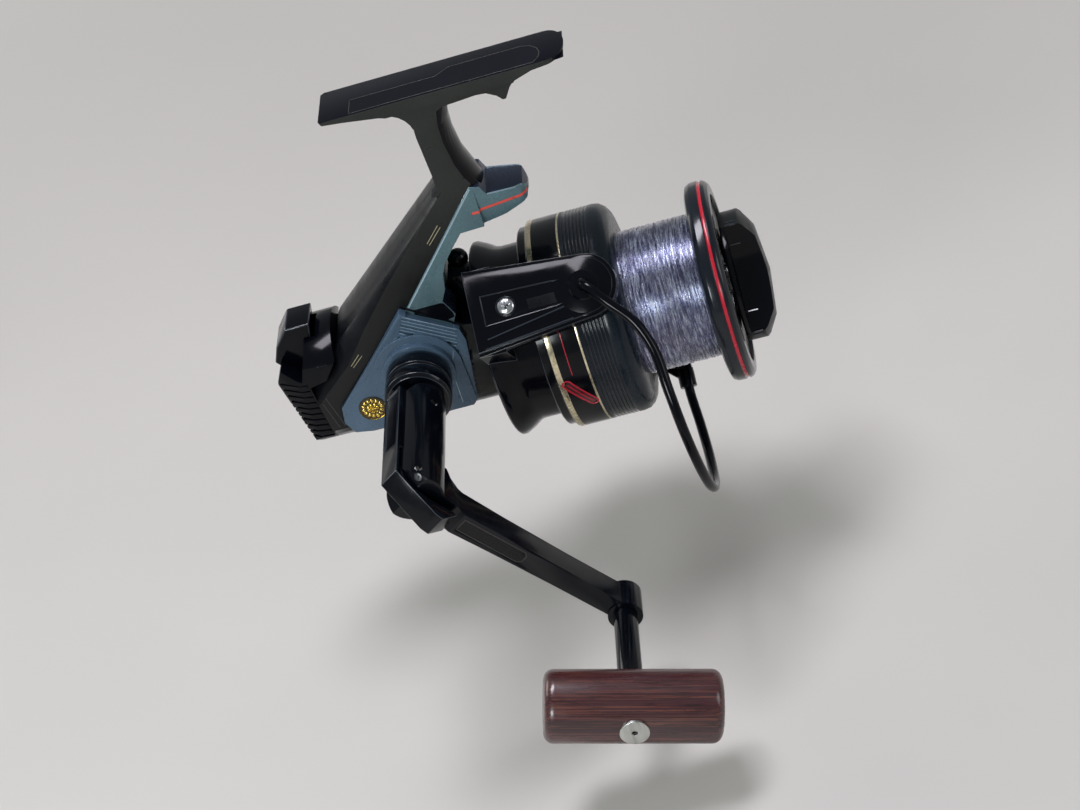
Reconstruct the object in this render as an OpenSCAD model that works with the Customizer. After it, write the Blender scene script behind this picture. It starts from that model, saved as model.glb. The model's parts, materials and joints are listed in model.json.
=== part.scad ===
// Large front-drag spinning reel with a skirted long-cast spool.
// +X points forward along the spool axis, +Z up out of the foot, the crank is on the -Y side.
// The origin is the centre of the foot's top face.

/* [Foot and stem] */
// Length of the foot along the rod
foot_len = 75; // [70:1:84]
// Width of the foot
foot_w = 18; // [17:0.5:20]
// Distance from the foot's top face down to the spool axis
axis_drop = 95; // [94:0.5:98]
// Width of the stem between its flat sides
stem_w = 16; // [15:0.5:17]

/* [Gear housing] */
// Radius of the round housing nose and belly
housing_r = 17.5; // [17.2:0.1:18]
// Half width of the casting across its flat sides
housing_half = 15.5; // [15.2:0.1:16]
// Thickness of the housing wall
wall = 2.2; // [1.8:0.1:2.6]
// Thickness of the side cover
cover_t = 2.2; // [1.8:0.1:2.6]
// Outer radius of the bearing behind the rotor
bearing_r = 11; // [10:0.5:12]

/* [Drive] */
// Radius of the spool shaft
shaft_r = 2.5; // [2:0.1:2.7]
// Radius of the crank shaft
crank_shaft_r = 3.5; // [3:0.1:3.8]
// Height of the crank shaft above the spool axis
drive_offset = 7.5; // [7:0.1:8.5]
// Number of teeth on the drive gear
gear_teeth = 46; // [36:2:52]
// Outer radius of the drive gear
gear_r = 13.5; // [12.5:0.5:13.5]
// Number of teeth on the pinion
pinion_teeth = 10; // [8:1:12]
// Outer radius of the pinion teeth
pinion_r = 5; // [4.8:0.1:5.4]

/* [Rotor] */
// Radius of the rotor drum
drum_r = 28; // [27:0.5:28.5]
// Radius of the flared rear rim
flare_r = 31.4; // [30.5:0.1:32]
// Distance from the axis to the outer face of a rotor arm
arm_out = 40; // [39.5:0.5:42]
// Half width of a rotor arm at its rear root
arm_root_half = 13.5; // [12:0.5:14]
// Half width of a rotor arm round its pivot
arm_tip_half = 9.8; // [9:0.1:10.5]
// Turn of the rotor about the spool axis
rotor_turn = 43; // [0:1:90]

/* [Bail] */
// Radius of the bail wire
bail_r = 1.6; // [1.4:0.1:1.8]
// Reach of the bail from its pivot line
bail_reach = 62; // [60:1:64]
// Radius of the line roller
roller_r = 4; // [3.5:0.1:4.5]

/* [Spool] */
// Outer radius of the skirt
skirt_r = 33.4; // [33:0.1:34]
// Radius of the front lip
lip_r = 31.8; // [30:0.1:32.5]
// Radius of the wound line
line_r = 23; // [21.5:0.5:25]
// Radius of the bare arbor
arbor_r = 19; // [18:0.5:20]
// Number of turns in the outer layer of line
line_turns = 24; // [12:1:24]

/* [Drag] */
// Radius of the drag knob
drag_knob_r = 20.5; // [18:0.5:22]
// Radius of the drag washers
drag_washer_r = 15.5; // [14:0.5:16]

/* [Crank] */
// Distance from the crank shaft to the knob
crank_radius = 80; // [76:1:84]
// Direction of the crank below straight forward
crank_turn = 56; // [0:1:90]
// Radius of the crank's barrel
barrel_r = 8.4; // [8:0.1:8.8]
// Width of the crank arm
crank_w = 8; // [7:0.5:9]
// Length of the wooden T-bar
knob_len = 52; // [46:1:56]
// Radius of the wooden T-bar
knob_r = 10.8; // [10:0.1:12]

/* [Hidden] */
$fn = 48;
far = 200;               // reach of a cutting block past the whole model
cut = 0.1;               // overshoot of a cut past a face
fit = 0.05;              // running clearance of a shaft in its bore
gap = 0.3;               // clearance between pieces that move past each other

// Lines that several pieces share
axis_z = -axis_drop;
drive_x = -35.5;
drive_z = axis_z + drive_offset;
belly_z = axis_z - housing_r;

// Stem and housing side outline
stem_front = -6.3;       // front edge of the stem's flat side
stem_rear = -11.8;       // rear edge of the stem's flat side
spine_top = [-15.5, -35.6];
spine_low = [-57.4, axis_z + 23.6];
nose_x = -13;            // front face of the housing nose
body_tail_x = -69;

// Foot
foot_t = 5.6;
foot_tip_t = 1;
foot_round = 6;
foot_z = 4.2;            // depth over which the foot is wider than the stem

// Housing
spine_crown = 12;        // depth of the crowned back
crown_half = 16.8;

// Inside the housing
cavity_half = housing_half - wall;
cavity_front = -21.5;
cavity_rear = -64;
bearing_w = 6;
bearing_x = nose_x - bearing_w - 1;
gear_body_t = 2.4;
gear_tooth_h = 1.4;
gear_face_y = pinion_r + gap;
gear_inner_r = 9;
bush_wall = 1.5;

// Pinion
pinion_rear = -32.4;
pinion_teeth_end = -21.5;
pinion_seat_r = 4;
pinion_front = 10;
pinion_bore = shaft_r + fit;

// Rotor
rotor_rear = -12;
drum_front = 5.5;
rotor_wall = 2.4;
rotor_web = 3;
hub_r = 8;
arm_in = skirt_r + 0.9;
arm_root_front = -3.6;
pivot_x = 23.5;
pocket_in = arm_in + 1.4;

// Spool
skirt_rear = 3.7;
band_rear = skirt_rear + 2.9;
spool_face = 32.6;
line_len = 23.4;
line_front = spool_face + line_len;
lip_front = line_front + 8.4;
spool_hub_r = 6.5;
spool_web = 4;
spool_bore = shaft_r + fit;
spool_drum_in = arbor_r - 2;
drag_pocket_r = drag_washer_r + 0.6;
drag_pocket_x = lip_front - 8;
lip_seat_r = lip_r - 5;
spool_tail_x = 34;

// Line
line_tube = 0.5;         // thickness of one turn as modelled
line_sides = 6;
line_rings = 24;
line_pitch = (line_len - 0.9) / line_turns;

// Drag knob
knob_rear = lip_front + 0.4;
knob_rim = 6;
knob_dome = 11.6;
shaft_tip = knob_rear + 8;

// Shaft and oscillation
osc_x = -50;
osc_z = axis_z - 1;
osc_throw = 6.5;         // radius of the crank pin, half the spool's stroke
rest_offset = 2;         // how far behind mid stroke the spool stands
slider_x = osc_x - rest_offset;
slider_half = 3;
shaft_tail = slider_x - slider_half;
slider_out = 5;
osc_drive_r = 7.5;
osc_r = norm([drive_x - osc_x, drive_z - osc_z]) - osc_drive_r - 0.1;
osc_w0 = 8.2;
osc_w1 = osc_w0 + 2;
guide_z = belly_z + 6.6;
guide_r = 1.5;

// Crank, measured outward from the spool axis
boss_out = 20.5;         // outer face of the side cover's boss
collar_in = boss_out + gap;
collar_r = 10.3;
collar_out = 33.4;
knuckle_r = barrel_r + 0.2;
fold_w = collar_out + knuckle_r + gap;
fold_pin_r = 1.5;
tongue_t = 5;
boss_r = 5.4;
boss_w0 = 65.5;
boss_w1 = 76;
knob_shaft_r = 3.7;
knob_mid = 114.7;
knob_turn = 18;          // the T-bar's lie below straight forward
cap_r = 4.4;

// Moves what it holds from the spool axis frame into the part's frame
module on_axis() { translate([0, 0, axis_z]) children(); }

// Along the spool axis: a solid of revolution from points of [x, radius]
module lathe(points) { on_axis() rotate([90, 0,
  90]) rotate_extrude($fn = 96) polygon([for (p = points) [p[1], p[0]]]); }

module rod(x0, x1, r) { on_axis() translate([x0, 0, 0]) rotate([0, 90, 0]) cylinder(h = x1 - x0, r = r); }

// The rotor's own frame: near arm straight up, bail lying towards -Y
module on_rotor() { on_axis() rotate([rotor_turn, 0, 0]) children(); }

// The crank shaft's frame: +Z outward along the shaft, +X along the crank
module on_drive() { translate([drive_x, 0, drive_z]) rotate([90, 0, 0]) children(); }
module on_crank() { translate([drive_x, 0, drive_z]) rotate([90, crank_turn, 0]) children(); }

// The side outline of a piece, standing on edge across the whole width
module side_slab(half) { rotate([90, 0, 0]) translate([0, 0,
  -half]) linear_extrude(2 * half) children(); }

// A screw with a round head, standing on its head's underside, shank down
module screw(head_r, head_h, shank_r, shank_l) {
  cylinder(h = head_h, r1 = head_r, r2 = head_r * 0.8, $fn = 32);
  translate([0, 0, -shank_l]) cylinder(h = shank_l + cut, r = shank_r, $fn = 24);
}

// ---- Foot, stem and housing ----

// Points of an arc about a centre
function arc(c, r, a0, a1, n) = [for (i = [0:n]) c + r * [cos(a0 + (a1 - a0) * i / n),
  sin(a0 + (a1 - a0) * i / n)]];

function oval(c, rx, ry, a0, a1, n) = [for (i = [0:n]) c + [rx * cos(a0 + (a1 - a0) * i / n),
  ry * sin(a0 + (a1 - a0) * i / n)]];

// Foot and stem seen from the side
function stem_outline() = concat(
  [[-foot_len / 2, 0], [-foot_len / 2 + 0.6, -foot_tip_t], [-31, -1.7], [-20, -3.5]],
  arc([-19.6, -12], 8, 80, 8, 5),
  [[stem_rear, -14], [stem_rear + 0.3, -27.4], [stem_rear, -33], spine_top, [-30, -60], [0, -50],
   [2, -38], [stem_front + 4.2, -33.8], [stem_front + 1.6, -28.9], [stem_front + 0.3, -24],
   [stem_front - 0.3, -17.5], [stem_front, -12.5]],
  arc([0, -12], 6.1, 172, 92, 5),
  [[5, -foot_t], [9, -foot_t + 0.3], [12.1, -foot_t]],
  [[14.9, -7.3], [16.3, -9], [17.3, -9], [19.4, -5.7], [21.5, -3.6], [27, -1.9],
    [foot_len / 2 - 0.5, -foot_tip_t],
   [foot_len / 2, 0]]);

// Housing seen from the side, from the spine down to the belly
housing_outline = [
  [-10, -31], spine_top, spine_low, [-57, axis_z + 21.4], [-64.8, axis_z + 11.2],
    [body_tail_x - 1.8, axis_z + 9.6],
  [body_tail_x, belly_z + 4.6], [-62, belly_z + 1.4], [-54, belly_z], [nose_x, belly_z],
    [nose_x, axis_z + housing_r],
  [-21.5, axis_z + 19], [-34, axis_z + 27], [-12, axis_z + 50.4], [-1.5, axis_z + 61.5], [-2.5, -31]];

// Half widths of the casting from the front, at each height
function half_at(z) = stem_w / 2 + (housing_half - stem_w / 2) * min(1,
  max(0, (-z - 33) / (axis_drop - 15 - 33)));
front_heights = [0, -33, -45, -57, -69, -(axis_drop - 15), axis_z - 8];

module front_outline() {
  polygon(concat(
    [for (z = front_heights) [half_at(z), z]],
    arc([0, axis_z], housing_r - 0.15, -27, -153, 12),
    [for (i = [len(front_heights) - 1:-1:0]) [-half_at(front_heights[i]), front_heights[i]]]));
}

// A bar lying along the spine, whose crowned back rounds the housing
module spine_form() {
  run = spine_low - spine_top;
  translate([spine_top[0], 0, spine_top[1]]) rotate([0, atan2(-run[0], -run[1]), 0])
    translate([0, 0, -far]) linear_extrude(2 * far)
      polygon(concat(oval([spine_crown, 0], spine_crown, crown_half, 90, 270, 16),
        [[far, -crown_half], [far, crown_half]]));
}

// The rounded nose down the front of the stem, in bands between [x, z, depth] stations
nose_stations = [[-4.6, -7, 4.4], [-5.6, -12, 4], [-5.8, -18, 3.8], [-4.9, -26, 3.5], [-2.6, -36, 4.5]];
module stem_nose() {
  for (i = [0:len(nose_stations) - 2]) hull() for (s = [nose_stations[i], nose_stations[i + 1]])
    translate([0, 0, s[1]]) linear_extrude(0.2)
      polygon(concat([[s[0] - 3, -stem_w / 2]], oval([s[0], 0], s[2], stem_w / 2, -90, 90, 12),
        [[s[0] - 3, stem_w / 2]]));
}

module foot_plate() {
  intersection() {
    side_slab(foot_w / 2) polygon(stem_outline());
    translate([0, 0, -foot_z]) linear_extrude(foot_z) polygon(foot_plan());
  }
}

// The foot from above: cut straight at the rear, rounded at the front
function foot_plan() = concat([[-foot_len / 2, foot_w / 2 - 1], [-foot_len / 2, 1 - foot_w / 2],
  [1 - foot_len / 2, -foot_w / 2]],
  oval([foot_len / 2 - foot_round, 0], foot_round, foot_w / 2, -90, 90, 16),
    [[1 - foot_len / 2, foot_w / 2]]);

// Every bore and pocket that the casting carries
module housing_cuts() {
  difference() {
    intersection() {
      translate([0, cavity_half, 0]) rotate([90, 0,
        0]) linear_extrude(cavity_half + cover_in + cut) polygon(room_outline);
      rotate([90, 0, 90]) translate([0, 0,
        -far]) linear_extrude(2 * far) polygon(concat([[-cavity_half - 1, 0],
        [-cavity_half - 1, axis_z - 7]],
        arc([0, axis_z], housing_r - wall, 208, 332, 16), [[cavity_half + 1, axis_z - 7],
          [cavity_half + 1, 0]]));
    }
    on_drive() translate([0, 0, -cavity_half - cut]) cylinder(h = 1.6 + cut, r = bush_r + 2);
  }
  translate([0, -cover_in, 0]) rotate([90, 0, 0]) linear_extrude(far) polygon(cover_outline);
  rod(bearing_x, nose_x + cut, bearing_r);
  rod(cavity_front - cut, bearing_x + cut, pinion_seat_r + 2);
  on_drive() translate([0, 0, -far]) cylinder(h = far, r = bush_r);
  for (p = cover_screw_at) translate([p[0], 0, p[1]]) rotate([-90, 0, 0]) {
    cylinder(h = 2 * far, r = cover_screw_r, center = true, $fn = 24);
    translate([0, 0, housing_half - 1.4]) cylinder(h = far, r = 2.8, $fn = 32);
  }
  translate([cavity_rear - 3, 0, guide_z]) rotate([0, 90,
    0]) cylinder(h = cavity_front - cavity_rear + 4.2, r = guide_r);
  for (s = [-1, 1]) translate([-far, s * rear_screw_y, rear_screw_z]) rotate([0, 90,
    0]) cylinder(h = far + cavity_rear - 0.6, r = 1, $fn = 24);
  on_axis() {
    translate([nose_x - 3, pawl_at[0], pawl_at[1]]) rotate([0, 90, 0]) cylinder(h = far, r = pawl_pin_r,
      $fn = 24);
    for (a = retainer_angles) rotate([a, 0, 0]) translate([nose_x - 3, 0, retainer_pcd]) rotate([0, 90,
      0])
      cylinder(h = far, r = 0.8, $fn = 24);
  }
}

cover_skirt = 4;         // depth of the cover from its outer face to the lip that seats in the casting
cover_face = 17;         // distance from the middle plane to the cover's outer face
cover_in = cover_face - cover_skirt;
cover_screw_at = [[-61.3, axis_z - 6.5], [-26.5, axis_z - 6.5], [-35, axis_z + 24]];
cover_screw_r = 1.2;
bush_r = crank_shaft_r + bush_wall;
osc_axle_r = 1.5;
rear_screw_y = 8;
rear_screw_z = axis_z + 4;
retainer_pcd = 14;
retainer_angles = [90, 210, 330];
pawl_at = [9.6, 9.6];
pawl_pin_r = 1;

room_outline = [[cavity_front, belly_z + 3.4], [cavity_front, axis_z + 15], [-31, axis_z + 21.5],
  [-40, axis_z + 21.5],
  [-56, axis_z + 13.5], [-60.4, axis_z + 9.9], [cavity_rear, axis_z + 4], [cavity_rear, belly_z + 5],
    [cavity_rear + 4, belly_z + 3.4]];

cover_outline = [[-35, axis_z + 29], [-19, axis_z + 18.5], [-18.2, axis_z + 14], [-21.4, axis_z - 8.4],
  [-23.4, axis_z - 10.4], [-56.6, axis_z - 10.6], [-62.4, axis_z - 9.4], [-64.4, axis_z - 5],
    [-63.4, axis_z + 0.6]];

module reel_body() {
  color([0.2, 0.22, 0.19]) difference() {
    union() {
      foot_plate();
      stem_nose();
      intersection() {
        side_slab(stem_w / 2) polygon(stem_outline());
        translate([-far, -far, -34.6]) cube([2 * far, 2 * far, 33.6]);
      }
      intersection() {
        side_slab(far) polygon(housing_outline);
        rotate([90, 0, 90]) translate([0, 0, -far]) linear_extrude(2 * far) front_outline();
        spine_form();
      }
      rod(-34, nose_x, housing_r);
      on_drive() mirror([0, 0, 1]) translate([0, 0, 10]) cylinder(h = housing_r - 10, r = 8.6);
    }
    housing_cuts();
    lever_slot();
    side_slab(far) polygon(trim_outline);
  }
}

// ---- Covers and trim ----

trim_outline = [[-2.4, -34.2], [-12, axis_z + 50.4], [-34, axis_z + 27], [-20.6, axis_z + 19],
  [-18.8, axis_z + 22.5],
  [-21.4, axis_z + 27.5], [-19.4, axis_z + 31], [-18.4, axis_z + 36], [-16.7, axis_z + 39.2],
    [-13.1, axis_z + 43.3], [-9.2, axis_z + 47.3],
  [-2, axis_z + 47.5], [5.7, axis_z + 48.2], [13, axis_z + 50.4], [13.9, axis_z + 52.2],
    [14, axis_z + 53.4], [12.8, axis_z + 55.6],
  [2, axis_z + 56.8], [0.6, axis_z + 60]];

// The grey piece down the front of the housing, with its blunt nose under the foot
module stem_trim() {
  color([0.42, 0.5, 0.5]) intersection() {
    side_slab(far) polygon(trim_outline);
    rotate([90, 0, 90]) translate([0, 0, -far]) linear_extrude(2 * far) front_outline();
    union() {
      translate([-far - 1.5, -far, -far]) cube([far, 2 * far, 2 * far]);
      linear_height() polygon(trim_nose_plan());
    }
  }
}
module linear_height() { translate([0, 0, -far]) linear_extrude(far) children(); }
function trim_nose_plan() = concat([[-1.6, -8.4], [3, -7.8], [10.8, -6.6]],
  oval([10.8, 0], 3.3, 6.6, -70, 70, 6), [[10.8, 6.6], [3, 7.8], [-1.6, 8.4]]);

module side_cover() {
  color([0.4, 0.45, 0.5]) difference() {
    union() {
      translate([0, -cover_in, 0]) rotate([90, 0, 0]) linear_extrude(cover_skirt) polygon(cover_outline);
      // arched boss that carries the crank's bush
      on_drive() {
        cylinder(h = boss_out, r = boss_arch_r);
        translate([0, 0, cover_face - 1]) linear_extrude(1 + boss_step) polygon(concat(arc([0, 0],
          boss_arch_r + 2.6, -5, 185, 14),
          [[-boss_arch_r - 2.6, -15], [boss_arch_r + 2.6, -15]]));
      }
    }
    // hollow behind the plate, with bosses left for the screws and the bush
    difference() {
      translate([0, 0, 0]) rotate([90, 0, 0]) linear_extrude(cover_face - cover_t) polygon(room_outline);
      on_drive() cylinder(h = far, r = bush_r + 2.2);
      for (p = cover_screw_at) translate([p[0], 0, p[1]]) rotate([90, 0, 0]) cylinder(h = far, r = 2.6,
        $fn = 32);
    }
    on_drive() cylinder(h = bush_in, r = bush_r + 2.3);
    side_slab(far) polygon(trim_outline);
    translate([osc_x, 0, osc_z]) rotate([90, 0, 0]) cylinder(h = cover_face - 0.8, r = osc_axle_r);
    on_drive() cylinder(h = far, r = bush_r);
    for (p = cover_screw_at) translate([p[0], 0, p[1]]) rotate([90, 0, 0]) cylinder(h = cover_face - 1,
      r = cover_screw_r, $fn = 24);
    // five shallow grooves across the upper plate
    for (i = [0:4]) translate([-34.5 - i * 1.1, -cover_face + 0.5, axis_z + 27.4 - i * 2.1]) rotate([90,
      groove_lie, 0])
      linear_extrude(1) translate([0, -0.45]) square([17.5 + i * 0.6, 0.9]);
  }
}
groove_lie = 33;
boss_arch_r = 11.4;
boss_step = 1.2;
bush_in = osc_w1 + 0.8;

module cover_screws() {
  color("silver") for (p = cover_screw_at) translate([p[0], housing_half - 1.4, p[1]]) rotate([-90, 0, 0])
    screw(2.6, 1.2, cover_screw_r, housing_half + cover_face - 3);
}

rear_outline = [spine_low, [-68.2, axis_z + 23.6], [-72.6, axis_z + 12], [-78.4, axis_z + 16.8],
  [-80.6, axis_z + 12.8],
  [-81, axis_z + 11.6], [-76.4, axis_z - 11.4], [-75, axis_z - 12.8], [body_tail_x, belly_z + 4.6],
  [body_tail_x - 1.8, axis_z + 9.6], [-64.8, axis_z + 11.2], [-57, axis_z + 21.4]];
rear_half = 11.5;
cap_ribs = 9;
rib_pitch = 1.75;
function rib_z(i) = 3.2 - i * rib_pitch;

// The ribbed cap that closes the tail
module rear_cap() {
  color([0.12, 0.13, 0.13]) difference() {
    intersection() {
      side_slab(far) polygon(rear_outline);
      rotate([90, 0, 90]) translate([0, 0, -far]) linear_extrude(2 * far) intersection() {
        front_outline();
        // crowned like the spine
        polygon(concat([[crown_half, -far], [crown_half, spine_low[1] - spine_crown]],
          oval([0, spine_low[1] - spine_crown], crown_half, spine_crown, 4, 176, 16),
            [[-crown_half, spine_low[1] - spine_crown], [-crown_half, -far]]));
      }
      translate([0, 0, -far]) linear_extrude(far) polygon([[-60, -housing_half], [-60, housing_half],
        [-74, housing_half - 1],
        [-84, rear_half - 2], [-84, 2 - rear_half], [-74, 1 - housing_half]]);
    }
    for (i = [0:cap_ribs - 1]) translate([-90.2 + (11.6 - rib_z(i)) * 0.2, -far,
      axis_z + rib_z(i)]) cube([10, 2 * far, 0.8]);
    // room for the lever and the screws
    translate([lever_pin_at[0], 0, lever_pin_at[1]]) rotate([90, 0, 0]) cylinder(h = 20, r = lever_pin_r,
      center = true);
    lever_slot();
    for (s = [-1, 1]) translate([-far, s * rear_screw_y, rear_screw_z]) rotate([0, 90, 0]) {
      cylinder(h = far * 2, r = 1.2, $fn = 24);
      cylinder(h = far - 77, r = 2.3, $fn = 24);
    }
  }
}

module rear_cap_screws() {
  color("silver") for (s = [-1, 1]) translate([-77, s * rear_screw_y, rear_screw_z]) rotate([0, -90,
    0]) screw(2.1, 1.2, 1, 12);
}

lever_pin_at = [-74.5, axis_z + 9.4];
lever_pin_r = 1.2;
lever_half = 6;

module lever_slot() {
  translate([lever_pin_at[0], 0, lever_pin_at[1]]) rotate([90, 0,
    0]) cylinder(h = 2 * lever_half + 2 * gap, r = 4.6, center = true);
  translate([lever_pin_at[0] - 12, -lever_half - gap, lever_pin_at[1]]) cube([21.5,
    2 * lever_half + 2 * gap, 20]);
}

// The stepped thumb lever on the tail that lets the rotor turn both ways
module antireverse_lever() {
  color([0.1, 0.1, 0.11]) difference() {
    union() {
      side_slab(lever_half) polygon([[-77.8, axis_z + 11], [-79, axis_z + 14.4], [-80.5, axis_z + 16.5],
        [-78.2, axis_z + 21.8],
        [-73.4, axis_z + 27.4], [-65.4, axis_z + 27.4], [-66.2, axis_z + 23.6], [-71, axis_z + 10.6]]);
      translate([lever_pin_at[0], 0, lever_pin_at[1]]) rotate([90, 0, 0]) cylinder(h = 2 * lever_half,
        r = 4.2, center = true);
    }
    translate([lever_pin_at[0], 0, lever_pin_at[1]]) rotate([90, 0, 0]) cylinder(h = far,
      r = lever_pin_r + fit, center = true);
  }
}
module lever_pin() {
  color("silver") translate([lever_pin_at[0], 0, lever_pin_at[1]]) rotate([90, 0, 0]) cylinder(h = 20,
    r = lever_pin_r, center = true);
}

// ---- Bushes, bearing and fixed parts of the housing ----

module ring(x0, x1, r_in, r_out) { on_axis() translate([x0, 0, 0]) rotate([0, 90, 0]) difference() {
  cylinder(h = x1 - x0, r = r_out);
  translate([0, 0, -cut]) cylinder(h = x1 - x0 + 2 * cut, r = r_in);
} }

module tube(h, r_in, r_out) { difference() {
  cylinder(h = h, r = r_out);
  translate([0, 0, -cut]) cylinder(h = h + 2 * cut, r = r_in);
} }

module crank_bush_near() {
  color("goldenrod") on_drive() translate([0, 0, bush_in]) tube(boss_out - bush_in, crank_shaft_r + fit,
    bush_r);
}
module crank_bush_far() {
  color("goldenrod") on_drive() translate([0, 0, -housing_r]) tube(housing_r - cavity_half + 1.6,
    crank_shaft_r + fit, bush_r);
}
module rotor_bearing() { color("silver") ring(bearing_x, bearing_x + bearing_w, pinion_seat_r + fit,
  bearing_r); }
module bearing_retainer() {
  color("gray") difference() {
    ring(nose_x, nose_x + 0.8, pinion_seat_r + 2, retainer_pcd + 2);
    on_axis() for (a = retainer_angles) rotate([a, 0, 0]) translate([-far, 0, retainer_pcd]) rotate([0,
      90, 0])
      cylinder(h = 2 * far, r = 0.9, $fn = 24);
    on_axis() translate([-far, pawl_at[0], pawl_at[1]]) rotate([0, 90, 0]) cylinder(h = 2 * far,
      r = pawl_pin_r + 1.2, $fn = 24);
  }
}
module retainer_screws() {
  color("silver") on_axis() for (a = retainer_angles) rotate([a, 0, 0]) translate([nose_x + 0.8, 0,
    retainer_pcd])
    rotate([0, 90, 0]) screw(1.6, 0.7, 0.8, 3.6);
}
module slider_guide() {
  color("silver") translate([cavity_rear - 3, 0, guide_z]) rotate([0, 90,
    0]) cylinder(h = cavity_front - cavity_rear + 4.2, r = guide_r);
}
module oscillation_axle() {
  color("silver") translate([osc_x, 0, osc_z]) rotate([90, 0, 0]) translate([0, 0, osc_w0 - 0.4])
    cylinder(h = cover_face - 0.8 - osc_w0 + 0.4, r = osc_axle_r);
}
module trip_ramp() {
  color([0.12, 0.12, 0.13]) intersection() {
    union() {
      translate([ramp_x0, -ramp_half, axis_z + housing_r - 4]) cube([ramp_x1 - ramp_x0, 2 * ramp_half,
        ramp_top - housing_r + 4]);
      translate([nose_x - ball_r + 0.4, ball_y, axis_z + ramp_top + 0.6]) sphere(r = ball_r, $fn = 32);
      translate([nose_x - 4, ball_y, axis_z + ramp_top - 10]) cylinder(h = 8, r = 2.2, $fn = 32);
    }
    difference() {
      translate([-far, -far, -far]) cube([2 * far, 2 * far, 2 * far]);
      rod(-far, far, housing_r);
      side_slab(far) polygon(trim_outline);
      side_slab(far) polygon(housing_outline);
    }
  }
}
ramp_x0 = -19.4;
ramp_x1 = nose_x;
ramp_half = 4.4;
ramp_top = 29;
ball_r = 3.3;
ball_y = 5;

// ---- Gears ----

// A toothed outline: teeth with flat tips between two radii
module gear_outline(teeth, r_root, r_tip, share) {
  polygon([for (i = [0:teeth - 1], k = [0:3]) let (a = 360 / teeth * (i + [-share, -share * 0.6,
    share * 0.6, share][k]),
    r = [r_root, r_tip, r_tip, r_root][k]) r * [cos(a), sin(a)]]);
}

module drive_gear() {
  color("silver") on_drive() mirror([0, 0, 1]) {
    // face teeth round the rim, then the disc, the hub and the small gear beyond the shaft's other side
    translate([0, 0, gear_face_y]) linear_extrude(gear_tooth_h + cut) difference() {
      gear_outline(gear_teeth, gear_inner_r + 0.8, gear_r - 0.3, 0.25);
      circle(r = gear_inner_r);
    }
    translate([0, 0, gear_face_y]) tube(gear_tooth_h + gear_body_t, crank_shaft_r, crank_shaft_r + 2.5);
    translate([0, 0, gear_face_y + gear_tooth_h]) tube(gear_body_t, crank_shaft_r, gear_r);
    translate([0, 0, gear_face_y + gear_tooth_h + gear_body_t])
      tube(cavity_half - 1.9 - gear_face_y - gear_tooth_h - gear_body_t,
      crank_shaft_r, crank_shaft_r + 2);
  }
}

module oscillation_gear() {
  color("silver") translate([osc_x, 0, osc_z]) rotate([90, 0, 0]) difference() {
    union() {
      translate([0, 0, osc_w0]) linear_extrude(osc_w1 - osc_w0) gear_outline(30, osc_r - 1, osc_r - gap,
        0.25);
      rotate([0, 0, acos(-rest_offset / osc_throw)]) translate([osc_throw, 0,
        slider_out + gap]) cylinder(h = osc_w0 - slider_out, r = 1.3);
    }
    translate([0, 0, osc_w0 - cut]) cylinder(h = 10, r = osc_axle_r + fit);
  }
}

// Gear on the crank shaft that turns the oscillation gear
module oscillation_driver() {
  color("goldenrod") on_drive() translate([0, 0, osc_w0]) linear_extrude(osc_w1 - osc_w0) difference() {
    gear_outline(24, osc_drive_r - 1, osc_drive_r, 0.25);
    circle(r = crank_shaft_r);
  }
}

module pinion() {
  color("goldenrod") difference() {
    union() {
      rod(pinion_rear, pinion_front, pinion_seat_r - 0.2);
      on_axis() translate([pinion_rear + 1.2, 0, 0]) rotate([90, 0,
        90]) linear_extrude(pinion_teeth_end - pinion_rear - 1.2)
        gear_outline(pinion_teeth, pinion_r - 1.1, pinion_r, 0.3);
      rod(pinion_teeth_end, pinion_front, pinion_seat_r);
    }
    rod(pinion_rear - cut, pinion_front + cut, pinion_bore);
  }
}

module ratchet_wheel() {
  color("gray") on_axis() translate([ratchet_x, 0, 0]) rotate([90, 0,
    90]) linear_extrude(ratchet_t) difference() {
    polygon([for (i = [0:11], k = [0:1]) let (a = 30 * i + [0, 3][k],
      r = [ratchet_r - 1.8, ratchet_r][k]) r * [cos(a), -sin(a)]]);
    circle(r = pinion_seat_r);
  }
}
ratchet_x = nose_x + 2.2;
ratchet_t = 1.8;
ratchet_r = 9;

module antireverse_pawl() {
  color("gray") on_axis() translate([ratchet_x, 0, 0]) rotate([90, 0,
    90]) linear_extrude(ratchet_t - 0.2) difference() {
    union() {
      translate(pawl_at) circle(r = 2.6);
      polygon([for (p = [[-2.4, 1], [-7.4, 0.8], [-7.2, -0.5], [-1.2, -2.7]]) pawl_at + p]);
    }
    translate(pawl_at) circle(r = pawl_pin_r + fit);
  }
}
module pawl_pin() {
  color("silver") on_axis() translate([nose_x - 3, pawl_at[0], pawl_at[1]]) rotate([0, 90,
    0]) cylinder(h = ratchet_x + ratchet_t - nose_x + 3, r = pawl_pin_r, $fn = 24);
}

// ---- Shaft and oscillation ----

module main_shaft() { color("silver") rod(shaft_tail, shaft_tip, shaft_r); }

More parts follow.
